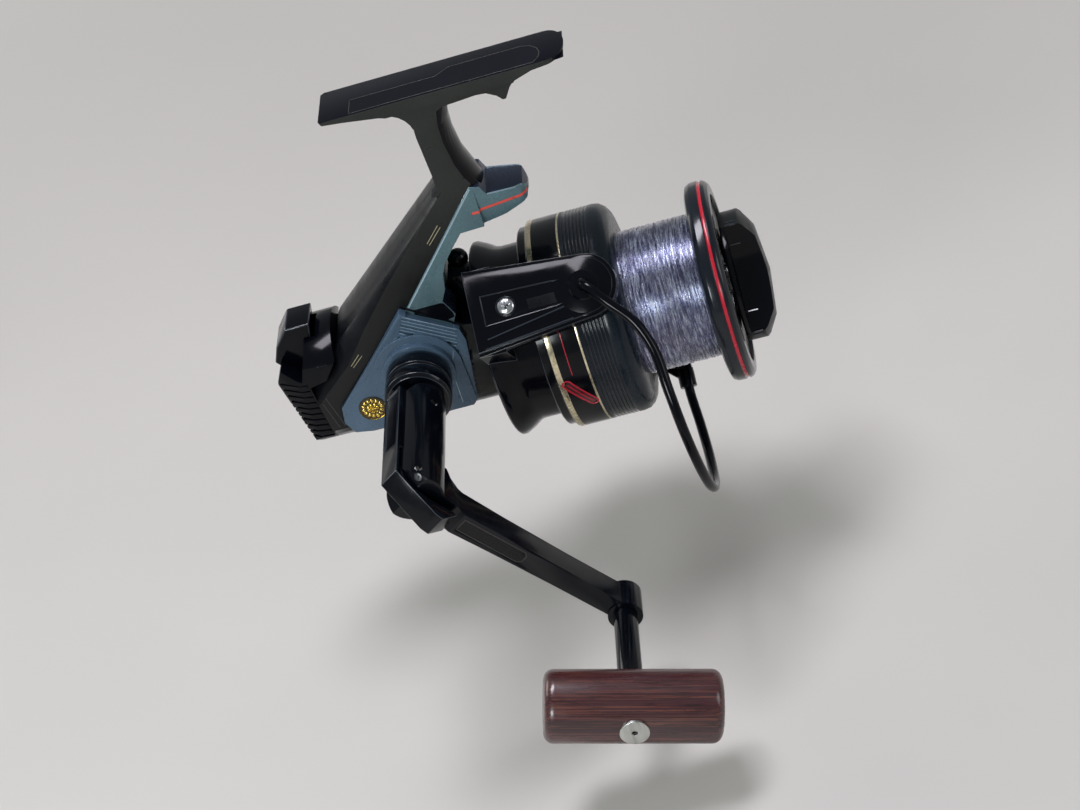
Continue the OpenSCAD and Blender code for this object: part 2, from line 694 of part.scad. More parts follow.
module oscillation_slider() {
  color([0.75, 0.75, 0.72]) difference() {
    on_axis() {
      translate([slider_x - slider_half, -slider_out, guide_z - axis_z - 2.8]) cube([2 * slider_half,
        slider_out + 4, 17.2]);
      translate([slider_x - slider_half, -slider_out, 0]) cube([2 * slider_half, 2.4, 9.4]);
    }
    rod(-far, far, shaft_r);
    translate([-far, 0, guide_z]) rotate([0, 90, 0]) cylinder(h = 2 * far, r = guide_r + fit);
    translate([slider_x - 1.5, -slider_out - cut, osc_z - osc_throw - 1.6]) cube([3, 2 + cut,
      2 * osc_throw + 3.2]);
    translate([slider_x, 0, axis_z]) rotate([-90, 0, 0]) cylinder(h = far, r = 1);
  }
}
module slider_screw() {
  color("silver") translate([slider_x, 4, axis_z]) rotate([-90, 0, 0]) screw(1.7, 0.9, 1, 1.4);
}
module click_wheel() {
  color("gray") on_axis() translate([spool_tail_x - 2.3, 0, 0]) rotate([90, 0,
    90]) linear_extrude(2) difference() {
    gear_outline(24, 8, 9, 0.25);
    circle(r = shaft_r);
  }
}

// ---- Rotor ----

function arm_plan(root, tip) = concat([[rotor_rear, -root]], arc([pivot_x, 0], tip, -82, 82, 18),
  [[rotor_rear, root]]);

module arm_blank(root, tip, z0, z1) { translate([0, 0, z0]) linear_extrude(z1 - z0) polygon(arm_plan(root,
  tip)); }

module rotor() {
  color([0.08, 0.08, 0.1]) difference() {
    union() {
      lathe([[rotor_rear, 20], [rotor_rear, flare_r - 0.5], [rotor_rear + 0.5, flare_r],
        [rotor_rear + 1.6, flare_r], [rotor_rear + 4.4, flare_r - 1.4],
        [-5, drum_r + 0.3], [-3.4, drum_r], [drum_front - 1, drum_r], [drum_front, drum_r - 1],
          [drum_front, 2], [rotor_rear, 2]]);
      on_rotor() {
        arm_blank(arm_root_half, arm_tip_half, arm_in, cover_in_r);
        rotate([180, 0, 0]) arm_blank(arm_root_half, arm_tip_half, arm_in, cover_in_r);
        for (turn = [0, 180]) rotate([turn, 0, 0]) translate([rotor_rear, -arm_root_half, 22])
          cube([arm_root_front - rotor_rear, 2 * arm_root_half, cover_in_r - 22]);
      }
    }
    // inside of the cup round the hub
    on_axis() rotate([0, 90, 0]) difference() {
      translate([0, 0, rotor_rear - cut]) cylinder(h = drum_front - rotor_web - rotor_rear + cut,
        r = drum_r - rotor_wall, $fn = 96);
      translate([0, 0, rotor_hub_x]) cylinder(h = far, r = hub_r);
    }
    rod(-far, far, pinion_seat_r);
    on_rotor() {
      // spring and lever pocket under the cover, bail pivots, cover screw
      translate([2.6, -pocket_half, pocket_in]) cube([pivot_x, 2 * pocket_half, far]);
      translate([pivot_x, 0, arm_in - cut]) cylinder(h = far, r = bail_r + fit);
      translate([screw_at_x, 0, arm_in + 0.8]) cylinder(h = far, r = 1.2, $fn = 24);
      rotate([180, 0, 0]) translate([pivot_x, 0, arm_in - cut]) cylinder(h = far, r = arm_screw_r);
    }
  }
}
cover_in_r = arm_out - 1.6;
rotor_hub_x = ratchet_x + ratchet_t + gap;
pocket_half = 5;
arm_screw_r = 1.5;

module rotor_nut() {
  color("silver") difference() {
    on_axis() translate([drum_front, 0, 0]) rotate([0, 90, 0]) cylinder(h = 3.6, r = 7.4, $fn = 6);
    rod(0, far, pinion_seat_r);
  }
}

module arm_cover() {
  color([0.06, 0.06, 0.08]) on_rotor() difference() {
    union() {
      arm_blank(arm_root_half, arm_tip_half, cover_in_r, arm_out - 0.5);
      // raised rims along both sides of the bare panel
      translate([0, 0, cover_in_r]) linear_extrude(arm_out - cover_in_r) difference() {
        polygon(arm_plan(arm_root_half - 1.2, arm_tip_half - 1.2));
        polygon(concat([[rotor_rear + 4, -4.6], [pivot_x - 9, -3.8]],
          arc([pivot_x - 9, 0], 3.8, -70, 70, 8), [[pivot_x - 9, 3.8], [rotor_rear + 4, 4.6]]));
      }
      translate([pivot_x, 0, cover_in_r]) cylinder(h = arm_out - cover_in_r, r = 4.4);
    }
    translate([pivot_x, 0, 0]) cylinder(h = far, r = bail_r + fit);
    translate([screw_at_x, 0, 0]) cylinder(h = far, r = 1.2, $fn = 24);
    translate([screw_at_x, 0, arm_out - 0.9]) cylinder(h = far, r = 2.9);
  }
}
screw_at_x = -1;

module arm_cover_screw() {
  color("silver") on_rotor() translate([screw_at_x, 0, arm_out - 0.9]) screw(2.7, 1.1, 1.2, 3.6);
}

module bail_spring() {
  color("silver") on_rotor() translate([3, 3.2, (pocket_in + cover_in_r) / 2]) rotate([0, 90, 0]) tube(14,
    0.7, 1.1);
}
module kick_lever() {
  color("gray") on_rotor() translate([3.4, -4, pocket_in + 0.4]) linear_extrude(1.4) difference() {
    polygon([[0, 0], [15, 0], [17, 2], [17, 4], [15, 5.4], [0, 5.4]]);
    translate([2, 2]) square([10, 1.4]);
  }
}

// ---- Bail ----

// Points of the bail wire in the rotor's frame: forward, reach, height along the pivot line
function bail_route() = [[0, 0, 42], [2, 2.2, 43.2], [6.5, 8, 43], [12.4, 15, 41.2], [16, 24.5, 39.2],
  [17.1, 36, 37.2],
  [18.1, 47, 32.6], [18.9, 55.6, 23], [19.4, bail_reach - 1.4, 12], [19.5, bail_reach, 0],
    [19.4, bail_reach - 1.4, -12],
  [18.9, 55.6, -23], [18.1, 47, -32.6], [17.1, 36, -38], [16.2, 27.4, -40.1], [16, 23.2, -40.2],
    [16, 19, -40.2]];

// A smooth point between four neighbours
function blend4(a, b, c, d, t) = 0.5 * (2 * b + (c - a) * t + (2 * a - 5 * b + 4 * c - d) * t * t +
  (3 * b - a - 3 * c + d) * t * t * t);
function smooth(pts, steps) = let (n = len(pts) - 1) concat([for (i = [0:n - 1], k = [0:steps - 1])
  blend4(pts[max(i - 1, 0)], pts[i], pts[i + 1], pts[min(i + 2, n)], k / steps)], [pts[n]]);

function unit(v) = v / norm(v);
// Side directions carried along a path so that the tube doesn't twist
function carry(dirs, i, side) = i == len(dirs) ? [] :
  let (s = unit(side - (side * dirs[i]) * dirs[i])) concat([s], carry(dirs, i + 1, s));

// One closed tube along a path
module swept(path, r, sides, first_side) {
  n = len(path) - 1;
  dirs = [for (i = [0:n]) unit(path[min(i + 1, n)] - path[max(i - 1, 0)])];
  across = carry(dirs, 0, first_side);
  points = [for (i = [0:n], k = [0:sides - 1]) let (a = 360 * k / sides, up = cross(dirs[i], across[i]))
    path[i] + r * (cos(a) * across[i] + sin(a) * up)];
  skin = [for (i = [0:n - 1], k = [0:sides - 1]) let (a = i * sides + k,
    b = i * sides + (k + 1) % sides) each
    [[a, a + sides, b + sides], [a, b + sides, b]]];
  ends = [for (k = [1:sides - 2]) each [[0, k, k + 1], [n * sides, n * sides + k + 1, n * sides + k]]];
  polyhedron(points = points, faces = concat(skin, ends));
}

module on_bail() { on_rotor() translate([pivot_x, 0, 0]) children(); }

module bail_wire() {
  route = bail_route();
  color([0.07, 0.07, 0.08]) on_bail() {
    swept(smooth([for (p = route) [p[0], -p[1], p[2]]], 4), bail_r, 10, [1, 0, 0]);
    translate([0, 0, pocket_in + 0.4]) cylinder(h = 42 - pocket_in, r = bail_r);
  }
}

// The lever on the far arm that carries the line roller and the wire's end
module bail_arm() {
  color([0.1, 0.1, 0.12]) on_bail() mirror([0, 0, 1]) difference() {
    union() {
      translate([0, 0, cover_in_r + gap]) cylinder(h = 3, r = arm_tip_half - 1);
      translate([0, 0, cover_in_r + gap]) linear_extrude(3) polygon([[-2, -8.4], [8.6, -2], [18, -10],
        [18.6, -18], [13, -19], [2, -8.8]]);
      translate([16, -16.8, 40.2]) rotate([90, 0, 0]) cylinder(h = 6, r = 2.8);
    }
    translate([0, 0, arm_in]) cylinder(h = far, r = arm_screw_r + fit);
    translate([roller_at[0], -roller_at[1], arm_in]) cylinder(h = far, r = 1.2, $fn = 24);
    translate([16, -18.9, 40.2]) rotate([90, 0, 0]) cylinder(h = far, r = bail_r + 0.06);
  }
}
roller_at = [14.4, 11.6];

module bail_arm_screw() {
  color("silver") on_bail() mirror([0, 0, 1]) translate([0, 0, cover_in_r + 2 * gap + 3]) screw(3.2, 1.4,
    arm_screw_r, 7);
}
module line_roller() {
  color("silver") on_bail() mirror([0, 0, 1]) translate([roller_at[0], -roller_at[1],
    0]) rotate_extrude($fn = 64)
    polygon([[1.2 + fit, arm_in + 0.4], [roller_r, arm_in + 0.4], [roller_r - 0.8, arm_in + 1.4],
      [roller_r - 0.8, cover_in_r - 0.9],
      [roller_r, cover_in_r], [1.2 + fit, cover_in_r]]);
}
module roller_screw() {
  color("silver") on_bail() mirror([0, 0, 1]) translate([roller_at[0], -roller_at[1],
    cover_in_r + gap + 3]) {
    screw(2.2, 1, 1.2, cover_in_r + gap + 3 - arm_in + 0.2);
    translate([0, 0, arm_in - cover_in_r - gap - 3.6]) cylinder(h = 0.6, r = 2.2, $fn = 32);
  }
}

// ---- Spool ----

groove_count = 7;
groove_pitch = 1.15;
groove_x = 18.6;
module spool() {
  color([0.1, 0.12, 0.14]) lathe(concat(
    [[skirt_rear, skirt_r - 2.8], [skirt_rear, skirt_r - 1.8], [skirt_rear + 0.4, skirt_r - 1.4],
      [band_rear, skirt_r - 1.4], [band_rear, skirt_r - 0.4],
     [band_rear + 0.4, skirt_r]],
    [for (i = [0:groove_count - 1], k = [0:3]) [groove_x + i * groove_pitch + [0, 0.2, 0.5, 0.7][k],
      skirt_r - [0, 0.4, 0.4, 0][k]]],
    [[27.6, skirt_r], [29.6, skirt_r - 0.4], [31.2, skirt_r - 1.6], [32.2, skirt_r - 3.2],
      [spool_face, skirt_r - 5], [spool_face, arbor_r],
     [line_front, arbor_r], [line_front, lip_seat_r - 2], [line_front + 0.6, lip_seat_r],
       [lip_front - 1.2, lip_seat_r],
     [lip_front - 1.2, drag_pocket_r], [drag_pocket_x, drag_pocket_r], [drag_pocket_x, spool_bore],
       [spool_tail_x, spool_bore],
     [spool_tail_x, spool_hub_r], [drag_pocket_x - spool_web, spool_hub_r],
       [drag_pocket_x - spool_web, spool_drum_in],
     [spool_face - 2.4, spool_drum_in], [spool_face - 2.4, skirt_r - 5.6], [29.4, skirt_r - 3.4],
       [27.4, skirt_r - 2.2], [skirt_rear + 2, skirt_r - 2.2]]));
}

module spool_lip() {
  color([0.1, 0.14, 0.18]) lathe([[line_front + 0.9, lip_seat_r], [line_front + 0.6, lip_r - 2.6],
    [line_front + 1.2, lip_r - 0.8], [line_front + 2.6, lip_r - 0.1],
    [line_front + 5.1, lip_r], [line_front + 5.3, lip_r - 0.5], [line_front + 6.1, lip_r - 0.5],
      [line_front + 6.3, lip_r - 0.1],
    [line_front + 7.4, lip_r - 0.6], [lip_front - 0.1, lip_r - 1.8], [lip_front, lip_r - 3.2],
      [lip_front, lip_seat_r]]);
}

module line_core() {
  color([0.85, 0.85, 0.9]) ring(spool_face, line_front, arbor_r,
    (line_r - line_tube) * cos(180 / line_rings) - 0.03);
}

// The outer layer of line, one unbroken tube whose turns climb from rear to front
function winding_ring(i, n) = let (t = min(max(i - 1, 0), n - 2), a = 360 * t / line_rings,
    lead = (i == 0 ? -1 : i == n ? 1 : 0) * line_tube, mid = line_r - line_tube / 2)
  [for (k = [0:line_sides - 1]) let (b = 360 * k / line_sides + 30, r = mid + line_tube / 2 * cos(b))
    [winding_x0 + line_pitch * t / line_rings + line_tube / 2 * sin(b), r * cos(a) - lead * sin(a),
      r * sin(a) + lead * cos(a)]];
winding_x0 = spool_face + 0.45;
winding_rings = line_turns * line_rings + 2;
winding_points = [for (i = [0:winding_rings]) winding_ring(i, winding_rings)];
// least distance between the facing points of neighbouring turns
winding_gap = min([for (i = [1:winding_rings - line_rings - 1],
  j = [i + line_rings - 1:min(i + line_rings + 1, winding_rings)],
  p = winding_points[i]) min([for (q = winding_points[j]) norm(p - q)])]);
echo(winding_least_gap = winding_gap);

module line_winding() {
  n = winding_rings;
  s = line_sides;
  color([0.9, 0.9, 0.97]) on_axis() polyhedron(
    points = [for (ring = winding_points, p = ring) p],
    faces = concat(
      [for (i = [0:n - 1], k = [0:s - 1]) let (a = i * s + k, b = i * s + (k + 1) % s) each [[a, b + s,
        a + s], [a, b, b + s]]],
      [for (k = [1:s - 2]) each [[0, k + 1, k], [n * s, n * s + k, n * s + k + 1]]]));
}

// ---- Drag ----

washer_t = 1;
module drag_washers() {
  color("silver") for (i = [0:4]) ring(drag_pocket_x + i * washer_t, drag_pocket_x + (i + 1) * washer_t,
    shaft_r + gap, drag_washer_r - (i % 2) * 0.6);
}
module drag_retainer() {
  color("silver") ring(drag_pocket_x + 5 * washer_t, drag_pocket_x + 5 * washer_t + 0.8,
    drag_washer_r - 2, drag_pocket_r);
}
module drag_knob() {
  color([0.2, 0.24, 0.24]) difference() {
    lathe([[knob_rear, knob_bore], [knob_rear, drag_knob_r], [knob_rear + knob_rim, drag_knob_r],
      [knob_rear + knob_rim + 1, drag_knob_r - 1],
      [knob_rear + knob_dome - 1.6, drag_knob_r - 6], [knob_rear + knob_dome, 0], [shaft_tip + 0.6, 0],
        [shaft_tip + 0.6, knob_bore]]);
    on_axis() rotate([knob_lie, 0, 0]) for (side = [-1, 1]) translate([knob_rear + 1.6,
      side * (scallop_r + wing_half), 0])
      rotate([0, 90, 0]) cylinder(h = far, r = scallop_r, $fn = 96);
    rod(knob_rear - cut, knob_rear + 3, 6);
  }
}
knob_bore = shaft_r + fit;
knob_lie = -28;
scallop_r = 30;
wing_half = 6.4;

module drag_spring() {
  color("silver") ring(drag_pocket_x + 5 * washer_t + 0.05, knob_rear + 3, shaft_r + 0.6, 5);
}

// ---- Crank ----

module crank_shaft() { color("silver") on_drive() translate([0, 0,
  -shaft_cap_in - 4]) cylinder(h = shaft_cap_in + 4 + collar_out - 3, r = crank_shaft_r); }
shaft_cap_in = housing_r + gap;

module crank_collar() {
  color([0.06, 0.06, 0.07]) {
    on_drive() difference() {
      rotate_extrude($fn = 72) polygon([[0, collar_in], [collar_r - 0.8, collar_in],
        [collar_r, collar_in + 0.8], [collar_r, 26.2], [collar_r - 0.7, 26.7],
        [collar_r - 0.7, 27.2], [collar_r + 0.1, 27.8], [collar_r + 0.1, collar_out - 1],
          [collar_r - 0.9, collar_out], [0, collar_out]]);
      translate([0, 0, -far]) cylinder(h = far + collar_out - 3, r = crank_shaft_r);
    }
    // tongue that carries the fold pin
    on_crank() rotate([90, 0, 0]) translate([0, 0, -tongue_t / 2]) difference() {
      linear_extrude(tongue_t) polygon(concat([[-4.5, collar_out - 1], [4.5, collar_out - 1]],
        arc([0, fold_w], 4.5, 0, 180, 14)));
      translate([0, fold_w, -cut]) cylinder(h = tongue_t + 2 * cut, r = fold_pin_r + fit);
    }
  }
}

module shaft_cap() {
  color([0.1, 0.1, 0.1]) on_drive() mirror([0, 0, 1]) translate([0, 0, shaft_cap_in]) difference() {
    linear_extrude(5) gear_outline(28, 6.7, 7.1, 0.3);
    translate([0, 0, -cut]) cylinder(h = 4 + cut, r = crank_shaft_r);
  }
}

// The crank in its bend plane: the elbow that ends the barrel, and the arm to the knob boss
elbow_outline = [[-far, 0], [far, 0], [far, 79.6], [12.6, 79], [4, 79.4], [-2, 80.4], [-6, 78],
  [-9.4, 73.2], [-far, 73.2]];
arm_outline = [[0, 66], [7, 66], [8.6, 69], [12, 70.6], [30, 70], [55, 68.4],
  [crank_radius - 2, boss_w0 + 0.8],
  [crank_radius - 2, boss_w1 - 0.8], [55, 76.6], [30, 78.6], [15, 80.1], [12.6, 79.1], [4, 79.4],
    [0, 79]];

module crank_arm() {
  color([0.06, 0.06, 0.07]) on_crank() difference() {
    union() {
      // barrel with its end rounded about the fold pin
      intersection() {
        translate([0, 0, fold_w]) cylinder(h = far, r = barrel_r);
        rotate([90, 0, 0]) linear_extrude(far, center = true) polygon(elbow_outline);
      }
      intersection() {
        translate([0, 0, collar_out]) cylinder(h = fold_w - collar_out, r = barrel_r);
        translate([0, 0, fold_w]) rotate([90, 0, 0]) cylinder(h = far, r = knuckle_r, center = true);
      }
      // arm, narrowing towards the boss
      intersection() {
        rotate([90, 0, 0]) linear_extrude(far, center = true) polygon(arm_outline);
        linear_extrude(far) polygon([[0, -5.4], [8, -5.4], [14, -crank_w / 2],
          [crank_radius, 0.8 - crank_w / 2],
          [crank_radius, crank_w / 2 - 0.8], [14, crank_w / 2], [8, 5.4], [0, 5.4]]);
      }
      translate([crank_radius, 0, boss_w0]) cylinder(h = boss_w1 - boss_w0, r = boss_r);
    }
    // fork slot and bores
    translate([-barrel_r - 1, -tongue_t / 2 - gap, 0]) cube([2 * barrel_r + 2, tongue_t + 2 * gap,
      fold_w + 4.5 + gap]);
    translate([0, 0, fold_w]) rotate([90, 0, 0]) cylinder(h = far, r = fold_pin_r, center = true);
    translate([crank_radius, 0, 0]) cylinder(h = far, r = knob_shaft_r - 1);
    translate([release_at[0], 0, release_at[1]]) rotate([90, 0, 0]) cylinder(h = far, r = release_pin_r,
      center = true);
    // seat of the release lever down the barrel's outer side
    translate([-far - barrel_r + 1.4, -lever_half_w - gap, 36]) cube([far, 2 * (lever_half_w + gap), 30]);
    rotate([90, 0, 0]) linear_extrude(3.6, center = true) {
      translate(release_at) circle(r = 2.5);
      polygon([[-12, 71.4], [-4.8, 73.9], [-2.1, 77], [-2.8, 79.4], [-5, 84], [-12, 84]]);
    }
    // bare recess on the arm's outer face
    translate([16, -2.6, 79.6]) rotate([0, 4.2, 0]) cube([25, 5.2, 4]);
  }
}
lever_half_w = 3.6;
release_at = [-4.4, 76.4];
release_pin_r = 1;

module fold_pin() { color("silver") on_crank() translate([0, 0, fold_w]) rotate([90, 0,
  0]) cylinder(h = 2 * barrel_r - 2, r = fold_pin_r, center = true); }

// Cheeks hug the elbow; one leg runs down the barrel, the thumb end stands over the arm's root
module release_lever() {
  color([0.1, 0.1, 0.11]) on_crank() difference() {
    union() {
      rotate([90, 0, 0]) linear_extrude(3, center = true) {
        translate(release_at) circle(r = 2.1);
        polygon([[-9, 74], [-4.6, 74.4], [-3.6, 78.3], [-6.2, 79.2]]);
      }
    rotate([90, 0, 0]) linear_extrude(2 * lever_half_w, center = true) polygon([[-barrel_r - 1.4, 37],
      [-barrel_r + 1, 37], [-barrel_r + 1, 65.6],
      [-barrel_r - 0.4, 66], [-barrel_r - 0.4, 74.4], [-barrel_r + 2, 78.6], [-2.2, 81.2], [4, 82],
        [11.4, 81.2], [12.4, 82], [7.4, 87.2], [4.6, 86.8], [-barrel_r - 1.4, 78]]);
    }
    translate([release_at[0], 0, release_at[1]]) rotate([90, 0, 0]) cylinder(h = far,
      r = release_pin_r + fit, center = true);
    translate([-far, -lever_half_w + 1, 38]) cube([far - barrel_r - 1, 2 * lever_half_w - 2, 26]);
  }
}
module release_pin() {
  color("silver") on_crank() translate([release_at[0], 0, release_at[1]]) rotate([90, 0,
    0]) cylinder(h = 14, r = release_pin_r, center = true);
}

module on_knob() { on_crank() translate([crank_radius, 0, 0]) children(); }

module knob_shaft() {
  color([0.06, 0.06, 0.07]) on_knob() {
    translate([0, 0, boss_w1]) cylinder(h = knob_mid - knob_r - boss_w1 + 2, r = knob_shaft_r);
    translate([0, 0, boss_w0 + 1]) cylinder(h = knob_mid - boss_w0 - 1.4, r = knob_shaft_r - 1);
  }
}

module wooden_knob() {
  color([0.42, 0.17, 0.12]) difference() {
    on_knob() translate([0, 0, knob_mid]) rotate([0, 0, crank_turn - knob_turn]) rotate([0, 90,
      0]) rotate_extrude($fn = 96)
      polygon(concat([[0, -knob_len / 2]], [[knob_r - 3.4, -knob_len / 2]],
        arc([knob_r - 3, 3 - knob_len / 2], 3, -80, 0, 5),
        arc([knob_r - 3, knob_len / 2 - 3], 3, 0, 80, 5), [[knob_r - 3.4, knob_len / 2],
          [0, knob_len / 2]]));
    on_knob() {
      cylinder(h = knob_mid, r = knob_shaft_r - 1 + fit);
      cylinder(h = knob_mid - knob_r + 2 + gap, r = knob_shaft_r + fit);
      translate([0, 0, knob_mid + knob_r - 0.9]) cylinder(h = 10, r = cap_r);
      translate([0, 0, knob_mid]) cylinder(h = knob_r, r = 1.6);
    }
  }
}
module knob_cap() {
  color("silver") on_knob() difference() {
    union() {
      translate([0, 0, knob_mid + knob_r - 0.9]) cylinder(h = 1.2, r = cap_r);
      translate([0, 0, knob_mid + 0.4]) cylinder(h = knob_r - 1, r = 1.6);
    }
    translate([0, 0, knob_mid + knob_r - 0.6]) cylinder(h = 2, r = 0.8, $fn = 24);
  }
}

reel_body();
side_cover();
cover_screws();
stem_trim();
rear_cap();
rear_cap_screws();
crank_bush_near();
crank_bush_far();
rotor_bearing();
bearing_retainer();
retainer_screws();
slider_guide();
oscillation_axle();
antireverse_lever();
lever_pin();
antireverse_pawl();
pawl_pin();
trip_ramp();
drive_gear();
oscillation_driver();
crank_shaft();
crank_collar();
shaft_cap();
crank_arm();
fold_pin();
release_lever();
release_pin();
knob_shaft();
wooden_knob();
knob_cap();
pinion();
ratchet_wheel();
rotor();
rotor_nut();
arm_cover();
arm_cover_screw();
bail_spring();
kick_lever();
bail_wire();
bail_arm();
bail_arm_screw();
line_roller();
roller_screw();
oscillation_gear();
oscillation_slider();
slider_screw();
main_shaft();
click_wheel();
spool();
spool_lip();
line_core();
line_winding();
drag_washers();
drag_retainer();
drag_knob();
drag_spring();
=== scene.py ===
import bpy
import bmesh
import json
import math
from mathutils import Matrix, Vector
from mathutils.bvhtree import BVHTree


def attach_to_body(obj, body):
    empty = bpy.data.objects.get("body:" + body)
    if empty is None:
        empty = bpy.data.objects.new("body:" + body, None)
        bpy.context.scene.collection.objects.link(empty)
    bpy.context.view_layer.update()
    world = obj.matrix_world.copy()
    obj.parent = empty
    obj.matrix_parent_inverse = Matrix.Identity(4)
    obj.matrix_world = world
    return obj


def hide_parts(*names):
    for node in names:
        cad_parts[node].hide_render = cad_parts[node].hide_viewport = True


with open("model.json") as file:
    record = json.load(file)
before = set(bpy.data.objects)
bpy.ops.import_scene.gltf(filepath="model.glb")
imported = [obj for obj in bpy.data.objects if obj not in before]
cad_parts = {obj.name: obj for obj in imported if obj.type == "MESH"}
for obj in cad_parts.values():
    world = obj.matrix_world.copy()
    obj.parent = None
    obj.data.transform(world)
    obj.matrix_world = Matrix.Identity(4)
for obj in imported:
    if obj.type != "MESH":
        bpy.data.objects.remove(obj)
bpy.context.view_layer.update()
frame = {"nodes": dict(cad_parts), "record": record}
print("frame loaded")

nodes = frame["nodes"]
bodyOf = {n: b for b, members in frame["record"]["behaviour"]["bodies"].items() for n in members}
slotOf = {s["node"]: s["material_slot"] for s in frame["record"]["subparts"]}
mm = 0.001
collection = bpy.context.scene.collection
layout = {"axisHeight": -95, "armTurn": 43, "bailPivot": 23.5, "crankCentre": (-35.5, 0, -87.5), "crankTurn": 56}
clear = 60  # mm from the middle plane, outside both sides, where rays start


def turned(degrees, axis):
    return Matrix.Rotation(math.radians(degrees), 4, axis)


# where the moving groups stand, as matrices from their own frames in metres
spoolAxis = Matrix.Translation((0, 0, layout["axisHeight"] * mm))
sideways = spoolAxis @ turned(90, "Y")  # a lathe's height runs along the spool
rotorFrame = spoolAxis @ turned(layout["armTurn"], "X")  # near arm points along its +Z
farRotor = rotorFrame @ turned(180, "X")
crankFrame = (Matrix.Translation([c * mm for c in layout["crankCentre"]]) @ turned(layout["crankTurn"], "Y")
              @ turned(90, "X"))


def framePoint(matrix, x, y, z):
    return matrix @ (Vector((x, y, z)) * mm)


def frameWay(matrix, x, y, z):
    return matrix.to_3x3() @ Vector((x, y, z))


# shader building blocks

looks = {}  # every finish by its name


def newMaterial(name):
    looks[name] = bpy.data.materials.new(name)
    looks[name].use_nodes = True
    tree = looks[name].node_tree
    return tree, tree.nodes["Principled BSDF"], tree.nodes.new("ShaderNodeTexCoord").outputs["Object"]


def mapped(tree, vector, scale=(1, 1, 1), turn=(0, 0, 0)):
    mapping = tree.nodes.new("ShaderNodeMapping")
    mapping.inputs["Scale"].default_value = scale
    mapping.inputs["Rotation"].default_value = [math.radians(a) for a in turn]
    tree.links.new(vector, mapping.inputs["Vector"])
    return mapping.outputs["Vector"]


def noiseField(tree, vector, scale, detail=4.0, stretch=(1, 1, 1), rough=0.5):
    noise = tree.nodes.new("ShaderNodeTexNoise")
    noise.inputs["Scale"].default_value = scale
    noise.inputs["Detail"].default_value = detail
    noise.inputs["Roughness"].default_value = rough
    tree.links.new(mapped(tree, vector, stretch), noise.inputs["Vector"])
    return noise.outputs["Fac"]


def ramp(tree, value, stops):
    node = tree.nodes.new("ShaderNodeValToRGB")
    ends = node.color_ramp.elements
    while len(ends) < len(stops):
        ends.new(0.5)
    for end, (place, color) in zip(ends, stops):
        end.position = place
        end.color = (*color, 1)
    tree.links.new(value, node.inputs["Fac"])
    return node.outputs["Color"]


def spread(tree, value, low, high, fromLow=0.3, fromHigh=0.7):
    node = tree.nodes.new("ShaderNodeMapRange")
    node.inputs["From Min"].default_value = fromLow
    node.inputs["From Max"].default_value = fromHigh
    node.inputs["To Min"].default_value = low
    node.inputs["To Max"].default_value = high
    tree.links.new(value, node.inputs["Value"])
    return node.outputs["Result"]


def mixed(tree, amount, under, over):
    node = tree.nodes.new("ShaderNodeMix")
    node.data_type = "RGBA"
    for socket, value in (("Factor_Float", amount), ("A_Color", under), ("B_Color", over)):
        target = next(s for s in node.inputs if s.identifier == socket)
        if isinstance(value, bpy.types.NodeSocket):
            tree.links.new(value, target)
        elif socket == "Factor_Float":
            target.default_value = value
        else:
            target.default_value = (*value, 1)
    return next(s for s in node.outputs if s.identifier == "Result_Color")


def bump(tree, shader, height, distance, strength=1.0):
    node = tree.nodes.new("ShaderNodeBump")
    node.inputs["Distance"].default_value = distance
    node.inputs["Strength"].default_value = strength
    tree.links.new(height, node.inputs["Height"])
    below = shader.inputs["Normal"].links
    if below:
        tree.links.new(below[0].from_socket, node.inputs["Normal"])
    tree.links.new(node.outputs["Normal"], shader.inputs["Normal"])


def shade(color, by):
    return tuple(min(1, c * by) for c in color)


def painted(tree, shader, color, field, low, high):
    tree.links.new(color, shader.inputs["Base Color"])
    tree.links.new(spread(tree, field, low, high), shader.inputs["Roughness"])


def surfaceValues(shader, metallic=0.0, gloss=0.5, coat=0.0, coatRoughness=0.03):
    for label, value in (("Metallic", metallic), ("Specular IOR Level", gloss), ("Coat Weight", coat),
                         ("Coat Roughness", coatRoughness)):
        shader.inputs[label].default_value = value


# finishes of the reel

def enamel(name, color, roughness, metallic, coat, peel, fleck=0.0, gloss=0.5, fade=None):
    tree, shader, place = newMaterial(name)
    cloudy = ramp(tree, noiseField(tree, place, 55, 5),
                  [(0.3, shade(color, 0.82)), (0.55, color), (0.8, shade(color, 1.3))])
    if fleck:  # fine metal flake in the paint
        flakes = ramp(tree, noiseField(tree, place, 3400, 1), [(0.55, (0, 0, 0)), (0.68, (1, 1, 1))])
        cloudy = mixed(tree, spread(tree, flakes, 0, fleck, 0, 1), cloudy, shade(color, 3.2))
    if fade:  # painted shade, darker towards the bottom, between two heights in metres
        low, high, darkest = fade
        height = tree.nodes.new("ShaderNodeSeparateXYZ")
        tree.links.new(place, height.inputs[0])
        cloudy = mixed(tree, spread(tree, height.outputs["Z"], darkest, 0, low, high), cloudy, shade(color, 0.2))
    scuffs = noiseField(tree, place, 260, 7, (1, 0.25, 1), 0.65)
    painted(tree, shader, cloudy, scuffs, roughness * 0.75, roughness * 1.45)
    bump(tree, shader, noiseField(tree, place, 1100, 3), peel * mm, 0.7)
    surfaceValues(shader, metallic, gloss, coat, 0.08)


def machined(name, color, roughness, turn=(0, 0, 0)):
    tree, shader, place = newMaterial(name)
    cuts = noiseField(tree, mapped(tree, place, turn=turn), 900, 5, (1, 0.04, 1))
    painted(tree, shader, ramp(tree, cuts, [(0.3, shade(color, 0.7)), (0.7, shade(color, 1.15))]),
            noiseField(tree, place, 400, 5), roughness * 0.7, roughness * 1.4)
    bump(tree, shader, cuts, 0.01 * mm, 0.6)
    surfaceValues(shader, metallic=1)


